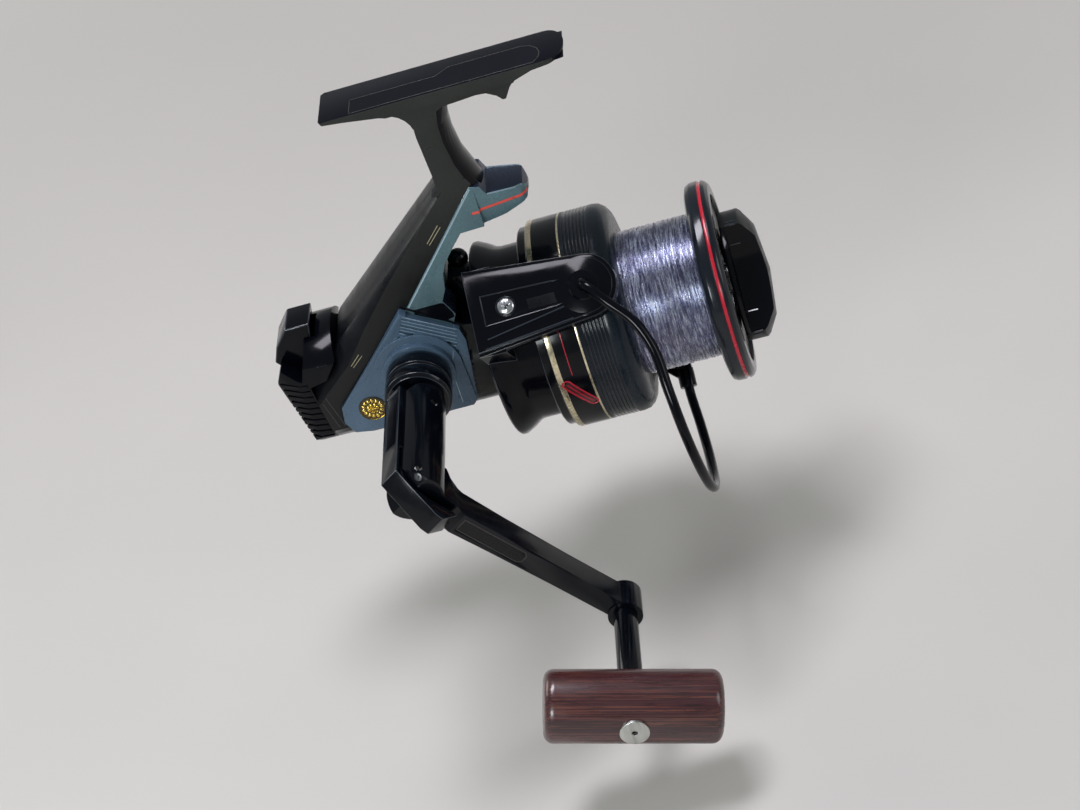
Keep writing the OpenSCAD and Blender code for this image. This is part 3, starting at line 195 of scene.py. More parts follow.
def nylonLine():
    tree, shader, place = newMaterial("nylonLine")
    strands = noiseField(tree, place, 170, 6, (9, 1, 1), 0.75)
    fine = ramp(tree, strands, [(0.3, (0.04, 0.041, 0.08)), (0.46, (0.2, 0.212, 0.39)), (0.61, (0.8, 0.85, 1.0))])
    patches = spread(tree, noiseField(tree, place, 60, 4, (2, 1, 1)), 0, 0.5, 0.4, 0.7)
    painted(tree, shader, mixed(tree, patches, fine, (0.155, 0.15, 0.19)),
            noiseField(tree, place, 900, 3, (4, 1, 1)), 0.21, 0.38)
    bump(tree, shader, noiseField(tree, place, 1600, 2, (3, 1, 1)), 0.035 * mm, 0.8)
    surfaceValues(shader, 1, 0.7, 0.9, 0.15)


def layeredWood(turn):
    tree, shader, place = newMaterial("layeredWood")
    along = mapped(tree, place, turn=(0, turn, 0))  # the bar's length lies along X after this
    plies = noiseField(tree, along, 330, 4, (0.012, 0.3, 1), 0.65)
    fine = noiseField(tree, along, 2100, 4, (0.01, 1, 1), 0.65)
    broad = ramp(tree, plies, [(0.33, (0.016, 0.0052, 0.008)), (0.46, (0.035, 0.0095, 0.0135)),
                               (0.58, (0.054, 0.0145, 0.017)), (0.66, (0.028, 0.0075, 0.011))])
    threads = ramp(tree, fine, [(0.5, (0, 0, 0)), (0.62, (1, 1, 1))])
    pores = ramp(tree, noiseField(tree, along, 2400, 3, (0.06, 1, 1)), [(0.38, (1, 1, 1)), (0.46, (0, 0, 0))])
    color = mixed(tree, spread(tree, threads, 0, 0.5, 0, 1), broad, (0.2, 0.062, 0.034))
    painted(tree, shader, mixed(tree, spread(tree, pores, 0, 0.75, 0, 1), color, (0.02, 0.006, 0.006)),
            noiseField(tree, along, 300, 6, (0.2, 1, 1)), 0.2, 0.4)
    bump(tree, shader, fine, 0.04 * mm, 0.35)
    surfaceValues(shader, coat=0.4, coatRoughness=0.12)


# name, colour, roughness, metallic, coat, orange peel in mm, metal flake; fade is a painted shade, darker towards the
# bottom
enamel("olivePaint", (0.0225, 0.0245, 0.0225), 0.36, 0.1, 0.05, 0.014, 0.14, gloss=0.24, fade=(-0.058, -0.034, 0.9))
enamel("glossBlack", (0.0012, 0.0016, 0.0034), 0.14, 0, 0.06, 0.004, gloss=0.14)
enamel("footBlack", (0.0016, 0.002, 0.0055), 0.2, 0, 0.05, 0.008, gloss=0.14)
enamel("satinBlack", (0.003, 0.0036, 0.0052), 0.32, 0, 0.05, 0.012, gloss=0.18)
# a lighter black on rounded edges and ridges of the black parts: a painted highlight
enamel("blackEdgeHighlight", (0.017, 0.022, 0.031), 0.12, 0, 0.4, 0.004, gloss=0.4)
# a lighter olive: painted highlight on the casting's rounded edges and along the tail's border lines
enamel("oliveEdgeHighlight", (0.035, 0.039, 0.037), 0.26, 0.2, 0.1, 0.004, gloss=0.3)
enamel("coverGrey", (0.066, 0.113, 0.17), 0.3, 0.25, 0.15, 0.012, 0.12, gloss=0.35)
# a light blue-grey: painted highlight on the cover's rounded edges and along its grooves
enamel("coverEdgeHighlight", (0.27, 0.38, 0.47), 0.24, 0.3, 0.3, 0.004)
enamel("trimGrey", (0.092, 0.17, 0.195), 0.28, 0.25, 0.2, 0.012, 0.12, gloss=0.35, fade=(-0.072, -0.044, 0.5))
enamel("trimTop", (0.017, 0.028, 0.056), 0.24, 0.1, 0.12, 0.012, 0.1, gloss=0.25)
# a light grey-blue: painted highlight on the trim's rounded edges and its highlight lines
enamel("trimEdgeHighlight", (0.34, 0.47, 0.55), 0.18, 0.3, 0.4, 0.004)
enamel("lipBlue", (0.0045, 0.0078, 0.0125), 0.18, 0, 0.2, 0.008, gloss=0.3)
enamel("skirtBlack", (0.0042, 0.0095, 0.0155), 0.25, 0, 0.1, 0.01, gloss=0.22)
enamel("bandBlack", (0.0016, 0.002, 0.0036), 0.16, 0, 0.1, 0.006, gloss=0.16)
enamel("crankBlack", (0.0014, 0.0021, 0.0042), 0.16, 0, 0.12, 0.006, gloss=0.22)
enamel("knobGrey", (0.0085, 0.0105, 0.0105), 0.36, 0, 0.03, 0.016, 0.08, gloss=0.2)
enamel("labelBronze", (0.0045, 0.0045, 0.0055), 0.24, 0.1, 0.1, 0.01, 0.2, gloss=0.2)
enamel("borderGrey", (0.055, 0.052, 0.046), 0.34, 0.2, 0.1, 0.004, gloss=0.3)
enamel("redEnamel", (0.5, 0.01, 0.03), 0.22, 0, 0.35, 0.006, gloss=0.4)
enamel("darkRed", (0.05, 0.003, 0.006), 0.3, 0, 0.3, 0.02)
enamel("orangeStripe", (0.78, 0.07, 0.042), 0.34, 0, 0.2, 0.006)
enamel("paleGold", (0.36, 0.32, 0.2), 0.34, 0.3, 0.1, 0.004)
enamel("badgeDark", (0.05, 0.032, 0.008), 0.4, 0.3, 0.1, 0.01)
enamel("castZinc", (0.36, 0.37, 0.39), 0.42, 1, 0, 0.03)
machined("goldFoil", (0.78, 0.68, 0.47), 0.24)
machined("badgeGold", (0.78, 0.56, 0.12), 0.24)
machined("brightSteel", (0.62, 0.62, 0.64), 0.22)
machined("screwSteel", (0.55, 0.56, 0.58), 0.22, (90, 0, 0))
machined("darkSteel", (0.12, 0.12, 0.13), 0.34)
machined("capSteel", (0.56, 0.57, 0.54), 0.34, (90, 0, 0))
machined("warmBrass", (0.62, 0.45, 0.2), 0.28)
nylonLine()
layeredWood(-18)
slotLook = {
    "body_paint": "olivePaint", "cover_paint": "coverGrey", "trim_paint": "trimGrey", "cap_plastic": "glossBlack",
    "lever_plastic": "glossBlack", "rotor_plastic": "glossBlack", "spool_plastic": "skirtBlack",
    "lip_metal": "lipBlue", "crank_metal": "crankBlack", "bail_metal": "glossBlack", "steel": "brightSteel",
    "bright_metal": "brightSteel", "brass": "warmBrass", "zinc": "castZinc", "line": "nylonLine",
    "knob_paint": "knobGrey", "wood": "layeredWood"}
for node, obj in nodes.items():
    obj.data.materials.clear()
    obj.data.materials.append(looks[slotLook[slotOf[node]]])
print("finishes mixed")


# mesh helpers

def smoothed(mesh, angle):
    for poly in mesh.polygons:
        poly.use_smooth = True
    mesh.set_sharp_from_angle(angle=math.radians(angle))


def attach(obj, body, slot, *replaced):
    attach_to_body(obj, body)
    if replaced:
        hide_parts(*replaced)


def newPiece(name, bm, lookNames, body, slot, *replaced, smooth=35, outward=False):
    if outward:
        bmesh.ops.recalc_face_normals(bm, faces=bm.faces)
    mesh = bpy.data.meshes.new(name)
    bm.normal_update()
    bm.to_mesh(mesh)
    bm.free()
    for look in lookNames:
        mesh.materials.append(looks[look])
    obj = bpy.data.objects.new(name, mesh)
    collection.objects.link(obj)
    smoothed(mesh, smooth)
    attach(obj, body, slot, *replaced)


def settle(obj):
    # the modifiers' result becomes the plain mesh
    bpy.context.view_layer.update()
    mesh = bpy.data.meshes.new_from_object(obj.evaluated_get(bpy.context.evaluated_depsgraph_get()))
    obj.modifiers.clear()
    obj.data = mesh


def softened(node, name, width, segments, lookNames, edgeHighlightLook=0, angle=28, sharp=40):
    # a merged copy of a node, its edges rounded by a width in mm and given their own finish, mostly a lighter painted
    # highlight
    obj = nodes[node].copy()
    obj.data = nodes[node].data.copy()
    obj.name = obj.data.name = name
    obj.parent = None
    obj.matrix_world = Matrix.Identity(4)
    collection.objects.link(obj)
    bm = bmesh.new()
    bm.from_mesh(obj.data)
    bmesh.ops.remove_doubles(bm, verts=bm.verts, dist=0.002 * mm)
    bmesh.ops.dissolve_limit(bm, angle_limit=math.radians(0.6), verts=bm.verts, edges=bm.edges)
    bm.to_mesh(obj.data)
    bm.free()
    obj.data.materials.clear()
    for look in lookNames:
        obj.data.materials.append(looks[look])
    bevel = obj.modifiers.new("edges", "BEVEL")
    bevel.width = width * mm
    bevel.segments = segments
    bevel.limit_method = "ANGLE"
    bevel.angle_limit = math.radians(angle)
    bevel.material = edgeHighlightLook
    bevel.harden_normals = False
    settle(obj)
    smoothed(obj.data, sharp)
    attach(obj, bodyOf[node], slotOf[node], node)
    return obj


def repaint(obj, rule, keep=()):
    for poly in obj.data.polygons:
        if poly.material_index not in keep:
            poly.material_index = rule(poly.center / mm, poly.normal)


def strip(bm, points, normals, width, proud=0.05, closed=False, look=0):
    # a flat band laid along points, standing a little proud of what carries it
    proud *= mm
    section = ((-1, -0.25 * mm), (-1, proud * 0.6), (-0.72, proud), (0.72, proud), (1, proud * 0.6), (1, -0.25 * mm))
    rings = []
    count = len(points)
    for i in range(count):
        ahead = points[(i + 1) % count] if closed or i < count - 1 else points[i]
        behind = points[i - 1] if closed or i else points[i]
        side = (ahead - behind).cross(normals[i]).normalized() * width / 2
        rings.append([bm.verts.new(points[i] + side * s + normals[i] * h) for s, h in section])
    pairs = list(zip(rings, rings[1:])) + ([(rings[-1], rings[0])] if closed else [])
    faces = []
    for a, b in pairs:
        for k in range(6):
            faces.append(bm.faces.new((a[k], b[k], b[(k + 1) % 6], a[(k + 1) % 6])))
    if not closed:
        faces += [bm.faces.new(rings[0]), bm.faces.new(rings[-1][::-1])]
    for face in faces:
        face.material_index = look


def lathe(bm, matrix, profile, steps=96):
    # profile of (radius, height) in mm, closed, turned round the matrix's Z
    rings = []
    for k in range(steps):
        a = 2 * math.pi * k / steps
        rings.append([bm.verts.new(framePoint(matrix, r * math.cos(a), r * math.sin(a), h)) for r, h in profile])
    for k in range(steps):
        a, b = rings[k], rings[(k + 1) % steps]
        for i in range(len(profile)):
            j = (i + 1) % len(profile)
            bm.faces.new((a[i], b[i], b[j], a[j]))
    bmesh.ops.remove_doubles(bm, verts=bm.verts, dist=0.0005 * mm)


def surfaceOf(*objects):
    verts, faces = [], []
    for obj in objects:
        start = len(verts)
        verts += [v.co.copy() for v in obj.data.vertices]
        faces += [[start + i for i in p.vertices] for p in obj.data.polygons]
    return BVHTree.FromPolygons(verts, faces)


def laidOn(surface, starts, directions):
    points, normals = [], []
    for start, direction in zip(starts, directions):
        hit, normal, _, _ = surface.ray_cast(start, direction)
        if hit:
            points.append(hit)
            normals.append(normal if normal.dot(direction) < 0 else -normal)
    return points, normals


def between(a, b, count):
    return [a.lerp(b, i / (count - 1)) for i in range(count)]


def around(corners, steps):
    # points along a closed outline, so many steps on each side of it
    return [a.lerp(b, k / steps) for a, b in zip(corners, corners[1:] + corners[:1]) for k in range(steps)]


def laidOnSide(surface, side, ends, count):
    # a straight line between two (x, z) in mm, laid on a side of the reel
    start, stop = [Vector((x, clear * side, z)) * mm for x, z in ends]
    return laidOn(surface, between(start, stop, count), [Vector((0, -side, 0))] * count)


def patch(bm, surface, rows, side, proud, sink):
    # a closed skin laid on a side of the reel, from rows of (x, z) in mm
    away = Vector((0, -side, 0))
    top, low = [], []
    for row in rows:
        hits, normals = laidOn(surface, [Vector((x, clear * side, z)) * mm for x, z in row], [away] * len(row))
        top.append([bm.verts.new(p + n * proud * mm) for p, n in zip(hits, normals)])
        low.append([bm.verts.new(p - n * sink * mm) for p, n in zip(hits, normals)])
    rim, under = [], []
    for layer, edge in ((top, rim), (low, under)):
        edge += layer[0] + [row[-1] for row in layer[1:-1]] + layer[-1][::-1] + [row[0] for row in layer[-2:0:-1]]
        for a, b in zip(layer, layer[1:]):
            for k in range(len(a) - 1):
                bm.faces.new((a[k], a[k + 1], b[k + 1], b[k]))
    for i in range(len(rim)):
        j = (i + 1) % len(rim)
        bm.faces.new((rim[i], rim[j], under[j], under[i]))


# the casting, satin paint on its flat sides and gloss everywhere else

bodyShape = {"rounding": 0.5, "satinTilt": 0.86, "footDepth": 4.4, "footTilt": -0.3, "neckTo": -13, "neckTilt": -0.2,
             "neckFront": 30, "backFrom": -34, "backTilt": -0.25}
casting = softened("reel_body", "bodyCasting", bodyShape["rounding"], 3,
                   ["olivePaint", "glossBlack", "footBlack", "oliveEdgeHighlight", "satinBlack"], 3)


def castingPaint(c, n):
    if abs(n.y) > bodyShape["satinTilt"]:
        return 0
    if c.z > -bodyShape["footDepth"] and n.z > bodyShape["footTilt"]:
        return 2
    if c.z > bodyShape["neckTo"] and n.z < bodyShape["neckTilt"] and c.x < bodyShape["neckFront"]:
        return 0
    return 4 if c.z < bodyShape["backFrom"] and n.x < bodyShape["backTilt"] else 1


repaint(casting, castingPaint, keep=(3,))

trimShape = {"rounding": 0.8, "topTilt": 0.3, "backTilt": -0.5, "backTo": -45, "edgeTilt": (0.3, 0.92),
             "edgeSide": 0.35, "stripeWidth": 0.8, "stripeFrom": (-3.9, -42.6), "stripeTo": (9.4, -42.5),
             "noseCentre": 8.0, "noseTurn": 82, "redTo": 34, "redWidth": 1.2}
trim = softened("stem_trim", "frontTrim", trimShape["rounding"], 3, ["trimGrey", "trimTop", "trimEdgeHighlight"], 2)


def trimPaint(c, n):
    low, high = trimShape["edgeTilt"]
    if low < n.z < high and abs(n.y) > trimShape["edgeSide"]:
        return 2  # a painted highlight on the rounding between top and side
    return 1 if n.z > trimShape["topTilt"] or (n.x < trimShape["backTilt"] and c.z > trimShape["backTo"]) else 0


repaint(trim, trimPaint)


def trimStripe():
    surface = surfaceOf(trim)
    wide, turn, red = trimShape["stripeWidth"] * mm, trimShape["noseTurn"], trimShape["redTo"]
    bm = bmesh.new()
    for side in (-1, 1):
        strip(bm, *laidOnSide(surface, side, (trimShape["stripeFrom"], trimShape["stripeTo"]), 25), wide)
    centre = Vector((trimShape["noseCentre"], 0, trimShape["stripeTo"][1])) * mm
    for first, last, look in ((-turn, -red, 0), (-red, red, 1), (red, turn, 0)):
        angles = [math.radians(first + (last - first) * i / 16) for i in range(17)]
        outs = [Vector((math.cos(a), math.sin(a), 0)) for a in angles]
        points, normals = laidOn(surface, [centre + out * 0.04 for out in outs], [-out for out in outs])
        strip(bm, points, normals, wide * (trimShape["redWidth"] if look else 1), look=look)
    newPiece("trimStripe", bm, ["orangeStripe", "darkRed"], "frame", "trim_paint")


trimStripe()

trimFootShade = {"columns": [(-31, -67.8, -69.3), (-28.5, -67.8, -70.7), (-26, -67.8, -72.1), (-23.5, -67.8, -73.5),
                        (-22.2, -67.8, -73.9), (-21.2, -68.2, -73.7), (-19.4, -71.9, -73.3)],  # x, top and bottom
            "proud": 0.03, "sink": 0.3}


def trimCornerShade():
    # a black patch on the foot of the trim, beside the rotor: painted shade
    bm = bmesh.new()
    rows = [[(x, top) for x, top, low in trimFootShade["columns"]], [(x, low) for x, top, low in trimFootShade["columns"]]]
    patch(bm, surfaceOf(trim), rows, -1, trimFootShade["proud"], trimFootShade["sink"])
    newPiece("trimCornerShade", bm, ["glossBlack"], "frame", "trim_paint", outward=True)


trimCornerShade()

trimLines = {"width": 0.42, "proud": 0.04, "stemEdge": ((-2.3, -34.9), (-32, -66.6)),
             "noseEdge": [(2.2, 7.9, -38.2), (10.4, 6.65, -39.15), (12.6, 5.4, -39.4)]}


def trimHighlights():
    surface = surfaceOf(trim)
    wide, proud = trimLines["width"] * mm, trimLines["proud"]
    bm = bmesh.new()
    for side in (-1, 1):
        strip(bm, *laidOnSide(surface, side, trimLines["stemEdge"], 24), wide, proud)
        slant = Vector((0, side, 1)).normalized()
        a, b, c = [Vector((x, y * side, z)) * mm for x, y, z in trimLines["noseEdge"]]
        run = between(a, b, 9) + between(b, c, 4)[1:]
        points, _ = laidOn(surface, [p + slant * 0.01 for p in run], [-slant] * len(run))
        strip(bm, points, [slant] * len(points), wide, proud)
    newPiece("trimHighlights", bm, ["trimEdgeHighlight"], "frame", "trim_paint")


trimHighlights()

pinstripes = {"width": 0.22, "ends": [((-19.93, -48.12), (-15.01, -43.29)), ((-19.36, -48.76), (-14.42, -44.06)),
                                      ((-55.56, -80.69), (-51.94, -77.43)), ((-55.1, -81.41), (-51.15, -78.12))]}
tailEdges = {"width": 0.26, "ends": [((-69.2, -90.4), (-66.9, -102.0)), ((-67.4, -89.6), (-65.0, -102.0))]}


def sideLines(name, sizes, look, slot):
    surface = surfaceOf(casting)
    bm = bmesh.new()
    for side in (-1, 1):
        for ends in sizes["ends"]:
            strip(bm, *laidOnSide(surface, side, ends, 9), sizes["width"] * mm, 0.03)
    newPiece(name, bm, [look], "frame", slot)


sideLines("sidePinstripes", pinstripes, "paleGold", "brass")
# raised lines along the tail's edge, in the lighter olive of a painted highlight
sideLines("tailEdgeLines", tailEdges, "oliveEdgeHighlight", "body_paint")

footPanel = {"lineWidth": 0.22, "lift": 0.015, "sink": 0.2,
             "outline": [(-28, -7.9), (-28, 0.1), (-1.5, 0.1), (2.4, 3.5), (24.5, 3.6), (27.4, 2.4), (29.4, 0),
                         (30.1, -2.8), (29.8, -5.4), (28.2, -7.9)]}


def footPlate():
    bm = bmesh.new()
    points = around([Vector((x, y, 0)) * mm for x, y in footPanel["outline"]], 6)
    strip(bm, points, [Vector((0, 0, 1))] * len(points), footPanel["lineWidth"] * mm, 0.04, True)
    tops, lows = [[bm.verts.new(p + Vector((0, 0, h * mm))) for p in points]
                  for h in (footPanel["lift"], -footPanel["sink"])]
    faces = [bm.faces.new(tops), bm.faces.new(lows[::-1])]
    for i in range(len(tops)):
        j = (i + 1) % len(tops)
        faces.append(bm.faces.new((tops[j], tops[i], lows[i], lows[j])))
    for face in faces:
        face.material_index = 1
    newPiece("footPlate", bm, ["borderGrey", "footBlack"], "frame", "body_paint")


footPlate()
print("casting dressed")


# cover, tail and lever

cover = softened("side_cover", "coverPlate", 0.45, 3, ["coverGrey", "coverEdgeHighlight"], 1, 24)

coverLines = {"outline": [(-35, -66), (-19, -76.5), (-18.2, -81), (-21.4, -103.4), (-23.4, -105.4), (-56.6, -105.6),
                          (-62.4, -104.4), (-64.4, -100), (-63.4, -94.4)],
              "middle": (-42, -88), "outset": 0.5, "gapWidth": 0.8, "edgeWidth": 0.22,
              "facet": [(-21.6, -79.5), (-25.6, -90), (-26.1, -103)], "facetLimit": -20,
              "grooves": 5, "grooveLie": 33, "grooveHalf": 0.62, "grooveStart": (-34.5, -67.6),
              "grooveStep": (-1.1, -2.1), "grooveLength": 17, "grooveGrowth": 0.6, "grooveLimit": -17.4}


def levelRuns(points, normals, limit):
    # the stretches that stay on one flat level of the cover, no farther out than limit
    run = []
    for p, n in zip(points, normals):
        if n.y < -0.9 and p.y > limit * mm and (not run or abs(p.y - run[-1][0].y) < 0.1 * mm):
            run.append((p, n))
        else:
            if len(run) > 3:
                yield run
            run = []
    if len(run) > 3:
        yield run


def laidOnCover(surface, points):
    # points in mm, whose y doesn't count
    return laidOn(surface, [Vector((p.x, -clear, p.z)) * mm for p in points], [Vector((0, 1, 0))] * len(points))


def coverDetail():
    bm = bmesh.new()
    # the dark gap round the plate
    middle = Vector((coverLines["middle"][0], 0, coverLines["middle"][1]))
    rim = around([Vector((x, 0, z)) for x, z in coverLines["outline"]], 12)
    rim = [p + (p - middle).normalized() * coverLines["outset"] for p in rim]
    strip(bm, *laidOnCover(surfaceOf(casting, trim), rim), coverLines["gapWidth"] * mm, 0.02, True)
    # painted highlights along the edges, two to each groove and one down the facet
    lie = math.radians(coverLines["grooveLie"])
    (x, z), (stepX, stepZ) = coverLines["grooveStart"], coverLines["grooveStep"]
    along = Vector((math.cos(lie), 0, -math.sin(lie)))
    runs = []
    for i in range(coverLines["grooves"]):
        length = coverLines["grooveLength"] + coverLines["grooveGrowth"] * i
        for edge in (-coverLines["grooveHalf"], coverLines["grooveHalf"]):
            start = Vector((x + stepX * i + edge * math.sin(lie), 0, z + stepZ * i + edge * math.cos(lie)))
            runs.append((coverLines["grooveLimit"], [start + along * length * k / 48 for k in range(49)]))
    a, b, c = [Vector((x, 0, z)) for x, z in coverLines["facet"]]
    runs.append((coverLines["facetLimit"], between(a, b, 20)[:-1] + between(b, c, 24)))
    plate = surfaceOf(cover)
    for limit, run in runs:
        for level in levelRuns(*laidOnCover(plate, run), limit):
            strip(bm, [p for p, n in level], [n for p, n in level], coverLines["edgeWidth"] * mm, 0.03, look=1)
    newPiece("coverLines", bm, ["bandBlack", "coverEdgeHighlight"], "frame", "cover_paint")


coverDetail()

badge = {"at": (-54.1, -97), "face": -17, "radius": 4.5, "petals": 14, "proud": 0.55, "rings": 26,
         "rim": 0.93, "groove": 0.8, "leaves": 0.46, "heart": 0.1, "darkUnder": 0.42}


def badgeHeight(t, a):
    # at a share t of the radius, and an angle a
    if t > badge["rim"]:
        return 0.75
    if t > badge["groove"]:
        return 0.25
    leaf = 0.5 + 0.5 * math.cos(badge["petals"] * a)
    if t > badge["leaves"]:
        return 0.25 + 0.85 * leaf * math.sin(math.pi * (t - badge["leaves"]) / (badge["groove"] - badge["leaves"]))
    inner = 0.5 + 0.5 * math.cos(badge["petals"] / 2 * a + 0.4)
    return 0.35 + 0.9 * inner * math.sin(math.pi * t / badge["leaves"]) if t > badge["heart"] else 0.95


def coverBadge():
    bm = bmesh.new()
    (x, z), face, rings, turns = badge["at"], badge["face"], badge["rings"], badge["petals"] * 10
    rows = []
    for i in range(rings + 1):
        row = []
        for k in range(turns):
            a = 2 * math.pi * k / turns
            r = badge["radius"] * i / rings
            height = badge["proud"] * badgeHeight(i / rings, a) if i < rings else -0.2  # the rim ends in the plate
            row.append(bm.verts.new(Vector((x + r * math.cos(a), face - height, z + r * math.sin(a))) * mm))
        rows.append(row)
    for low, high in zip(rows, rows[1:]):
        for k in range(turns):
            quad = bm.faces.new((low[k], low[(k + 1) % turns], high[(k + 1) % turns], high[k]))
            height = sum(face - v.co.y / mm for v in quad.verts) / 4
            quad.material_index = int(height < badge["proud"] * badge["darkUnder"])
    bm.faces.new(rows[-1][::-1])
    bmesh.ops.remove_doubles(bm, verts=bm.verts, dist=0.001 * mm)
    newPiece("coverBadge", bm, ["badgeGold", "badgeDark"], "frame", "brass", smooth=50, outward=True)


coverBadge()

tail = softened("rear_cap", "tailCap", 0.45, 2, ["glossBlack", "blackEdgeHighlight"], 1)
tailRibs = {"count": 10, "first": (-80.2, -83.6, -71.4, -84.6), "last": (-76.3, -104.6, -69.9, -105.4),
            "width": 1.15, "proud": 0.42}


def ribbedTail():
    bm = bmesh.new()
    surface = surfaceOf(tail)
    for side in (-1, 1):
        for i in range(tailRibs["count"]):
            t = i / (tailRibs["count"] - 1)
            x0, z0, x1, z1 = [a + (b - a) * t for a, b in zip(tailRibs["first"], tailRibs["last"])]
            line = laidOnSide(surface, side, ((x0, z0), (x1, z1)), 14)
            strip(bm, *line, tailRibs["width"] * mm, tailRibs["proud"])
    newPiece("tailRibs", bm, ["glossBlack"], "frame", "cap_plastic", smooth=25)


ribbedTail()
softened("antireverse_lever", "thumbLever", 0.7, 3, ["glossBlack", "blackEdgeHighlight"], 1)
softened("trip_ramp", "tripRamp", 0.4, 2, ["glossBlack"])

# rotor, its arms and the bail

softened("rotor", "rotorCup", 0.5, 3, ["glossBlack", "blackEdgeHighlight"], 1)
armCover = softened("arm_cover", "armCover", 0.3, 3, ["glossBlack", "blackEdgeHighlight"], 1)

armRidges = {"above": 48, "width": 0.5, "proud": 0.3,
             "lines": [((-8.3, -8.8), (16.4, -4.8)), ((-9.5, -11.6), (18.4, -8.9))],
             "label": ((5.7, -1.2), (15.4, -1.2)), "labelWidth": 3.2, "labelProud": 0.06,
             "dome": [(9.3, 39.1), (9.25, 39.7), (8.6, 39.95), (4.7, 40.75), (4.3, 41.15), (3.0, 41.3), (1.9, 41.2),
                      (1.9, 39.1)]}


def armTrim():
    up = frameWay(rotorFrame, 0, 0, 1)
    surface = surfaceOf(armCover)
    bm = bmesh.new()
    # the ridges take the lighter black of a painted highlight; the label plate is satin black
    for ends, count, width, proud, look in [
            *[(ends, 12, armRidges["width"], armRidges["proud"], 0) for ends in armRidges["lines"]],
            (armRidges["label"], 9, armRidges["labelWidth"], armRidges["labelProud"], 1)]:
        start, stop = [framePoint(rotorFrame, x, y, armRidges["above"]) for x, y in ends]
        points, _ = laidOn(surface, between(start, stop, count), [-up] * count)
        strip(bm, points, [up] * len(points), width * mm, proud, look=look)
    dome = bmesh.new()
    lathe(dome, rotorFrame @ Matrix.Translation((layout["bailPivot"] * mm, 0, 0)), armRidges["dome"], 64)
    newPiece("armDome", dome, ["glossBlack"], "rotor", "rotor_plastic", smooth=30, outward=True)
    newPiece("armTrim", bm, ["blackEdgeHighlight", "satinBlack"], "rotor", "rotor_plastic")


armTrim()
softened("bail_arm", "bailArm", 0.5, 3, ["glossBlack", "blackEdgeHighlight"], 1)
softened("bail_wire", "bailWire", 0.15, 2, ["glossBlack"], 0, 50, 60)

# crank

crankArm = softened("crank_arm", "crankArm", 0.8, 4, ["crankBlack"])
softened("release_lever", "foldRelease", 1.1, 4, ["crankBlack", "blackEdgeHighlight"], 1)
softened("crank_collar", "crankCollar", 0.3, 3, ["crankBlack", "blackEdgeHighlight"], 1)
softened("shaft_cap", "shaftCap", 0.2, 2, ["satinBlack", "blackEdgeHighlight"], 1)
softened("knob_shaft", "knobShaft", 0.3, 3, ["crankBlack"])
softened("wooden_knob", "woodenBar", 0.3, 2, ["layeredWood"], 0, 35, 35)
softened("knob_cap", "knobCap", 0.2, 3, ["capSteel"])

capHole = {"at": (9.235, -124.93, -153.82), "radius": 0.95, "depth": 0.4, "dimple": 0.06}


def knobCapHoleShade():
    # a dark disc over the cap's hole: painted shade of the hole
    bm = bmesh.new()
    r, depth = capHole["radius"], capHole["depth"]
    lathe(bm, Matrix.Translation(Vector(capHole["at"]) * mm) @ turned(90, "X"),
          [(0, -depth), (0, capHole["dimple"] / 2), (r * 0.85, capHole["dimple"]), (r, 0), (r, -depth)], 32)
    newPiece("knobCapHoleShade", bm, ["bandBlack"], bodyOf["knob_cap"], slotOf["knob_cap"], outward=True)


knobCapHoleShade()

armLabel = {"above": 95, "from": 16.6, "to": 40.4, "halfWidth": 2.2, "corner": 1.2, "lineWidth": 0.25,
            "plate": (0.3, 0.4), "plateInset": 0.25}


def crankLabel():
    surface = surfaceOf(crankArm)
    above, u0, u1, h, c = [armLabel[k] for k in ("above", "from", "to", "halfWidth", "corner")]
    down = frameWay(crankFrame, 0, 0, -1)
    corners = [(u0, -h), (u1 - c, -h), (u1, c - h), (u1, h - c), (u1 - c, h), (u0, h)]
    path = around([framePoint(crankFrame, x, y, above) for x, y in corners], 7)
    bm = bmesh.new()
    strip(bm, *laidOn(surface, path, [down] * len(path)), armLabel["lineWidth"] * mm, 0.04, True)
    start, stop = [framePoint(crankFrame, x, 0, above) for x in (u0 + armLabel["plate"][0], u1 - armLabel["plate"][1])]
    strip(bm, *laidOn(surface, between(start, stop, 12), [down] * 12), 2 * (h - armLabel["plateInset"]) * mm, 0.02,
          look=1)
    newPiece("crankLabel", bm, ["borderGrey", "labelBronze"], "crank", "crank_metal")


crankLabel()
print("levers and arms dressed")


# spool

spoolShape = {"rounding": 0.1, "backTo": 6.8, "backTilt": 0.9, "groovesFrom": 18, "groovesTo": 28,
              "grooveRadius": 33.25}
lipShape = {"rounding": 0.3, "redFrom": 61.2, "redTo": 62.2, "redRadius": 31}


def offAxis(c):
    return Vector((c.y, c.z - layout["axisHeight"])).length


def spoolPaint(c, n):
    back = c.x < spoolShape["backTo"] and n.x < spoolShape["backTilt"]
    # groove floors take the plain black band finish: painted shade in the grooves
    groove = spoolShape["groovesFrom"] < c.x < spoolShape["groovesTo"] and offAxis(c) < spoolShape["grooveRadius"]
    return int(back or groove)


def lipPaint(c, n):
    return int(lipShape["redFrom"] < c.x < lipShape["redTo"] and offAxis(c) > lipShape["redRadius"])


spoolCup = softened("spool", "spoolSkirt", spoolShape["rounding"], 2, ["skirtBlack", "bandBlack", "blackEdgeHighlight"],
                    2, 32, 24)
repaint(spoolCup, spoolPaint, keep=(2,))
lip = softened("spool_lip", "spoolLip", lipShape["rounding"], 3, ["lipBlue", "redEnamel"], 0, 20)
repaint(lip, lipPaint)

skirtRings = {"radius": 33.4, "wideGold": (7.0, 8.7), "thinGold": (16.8, 17.4), "darkBand": (8.7, 16.8)}


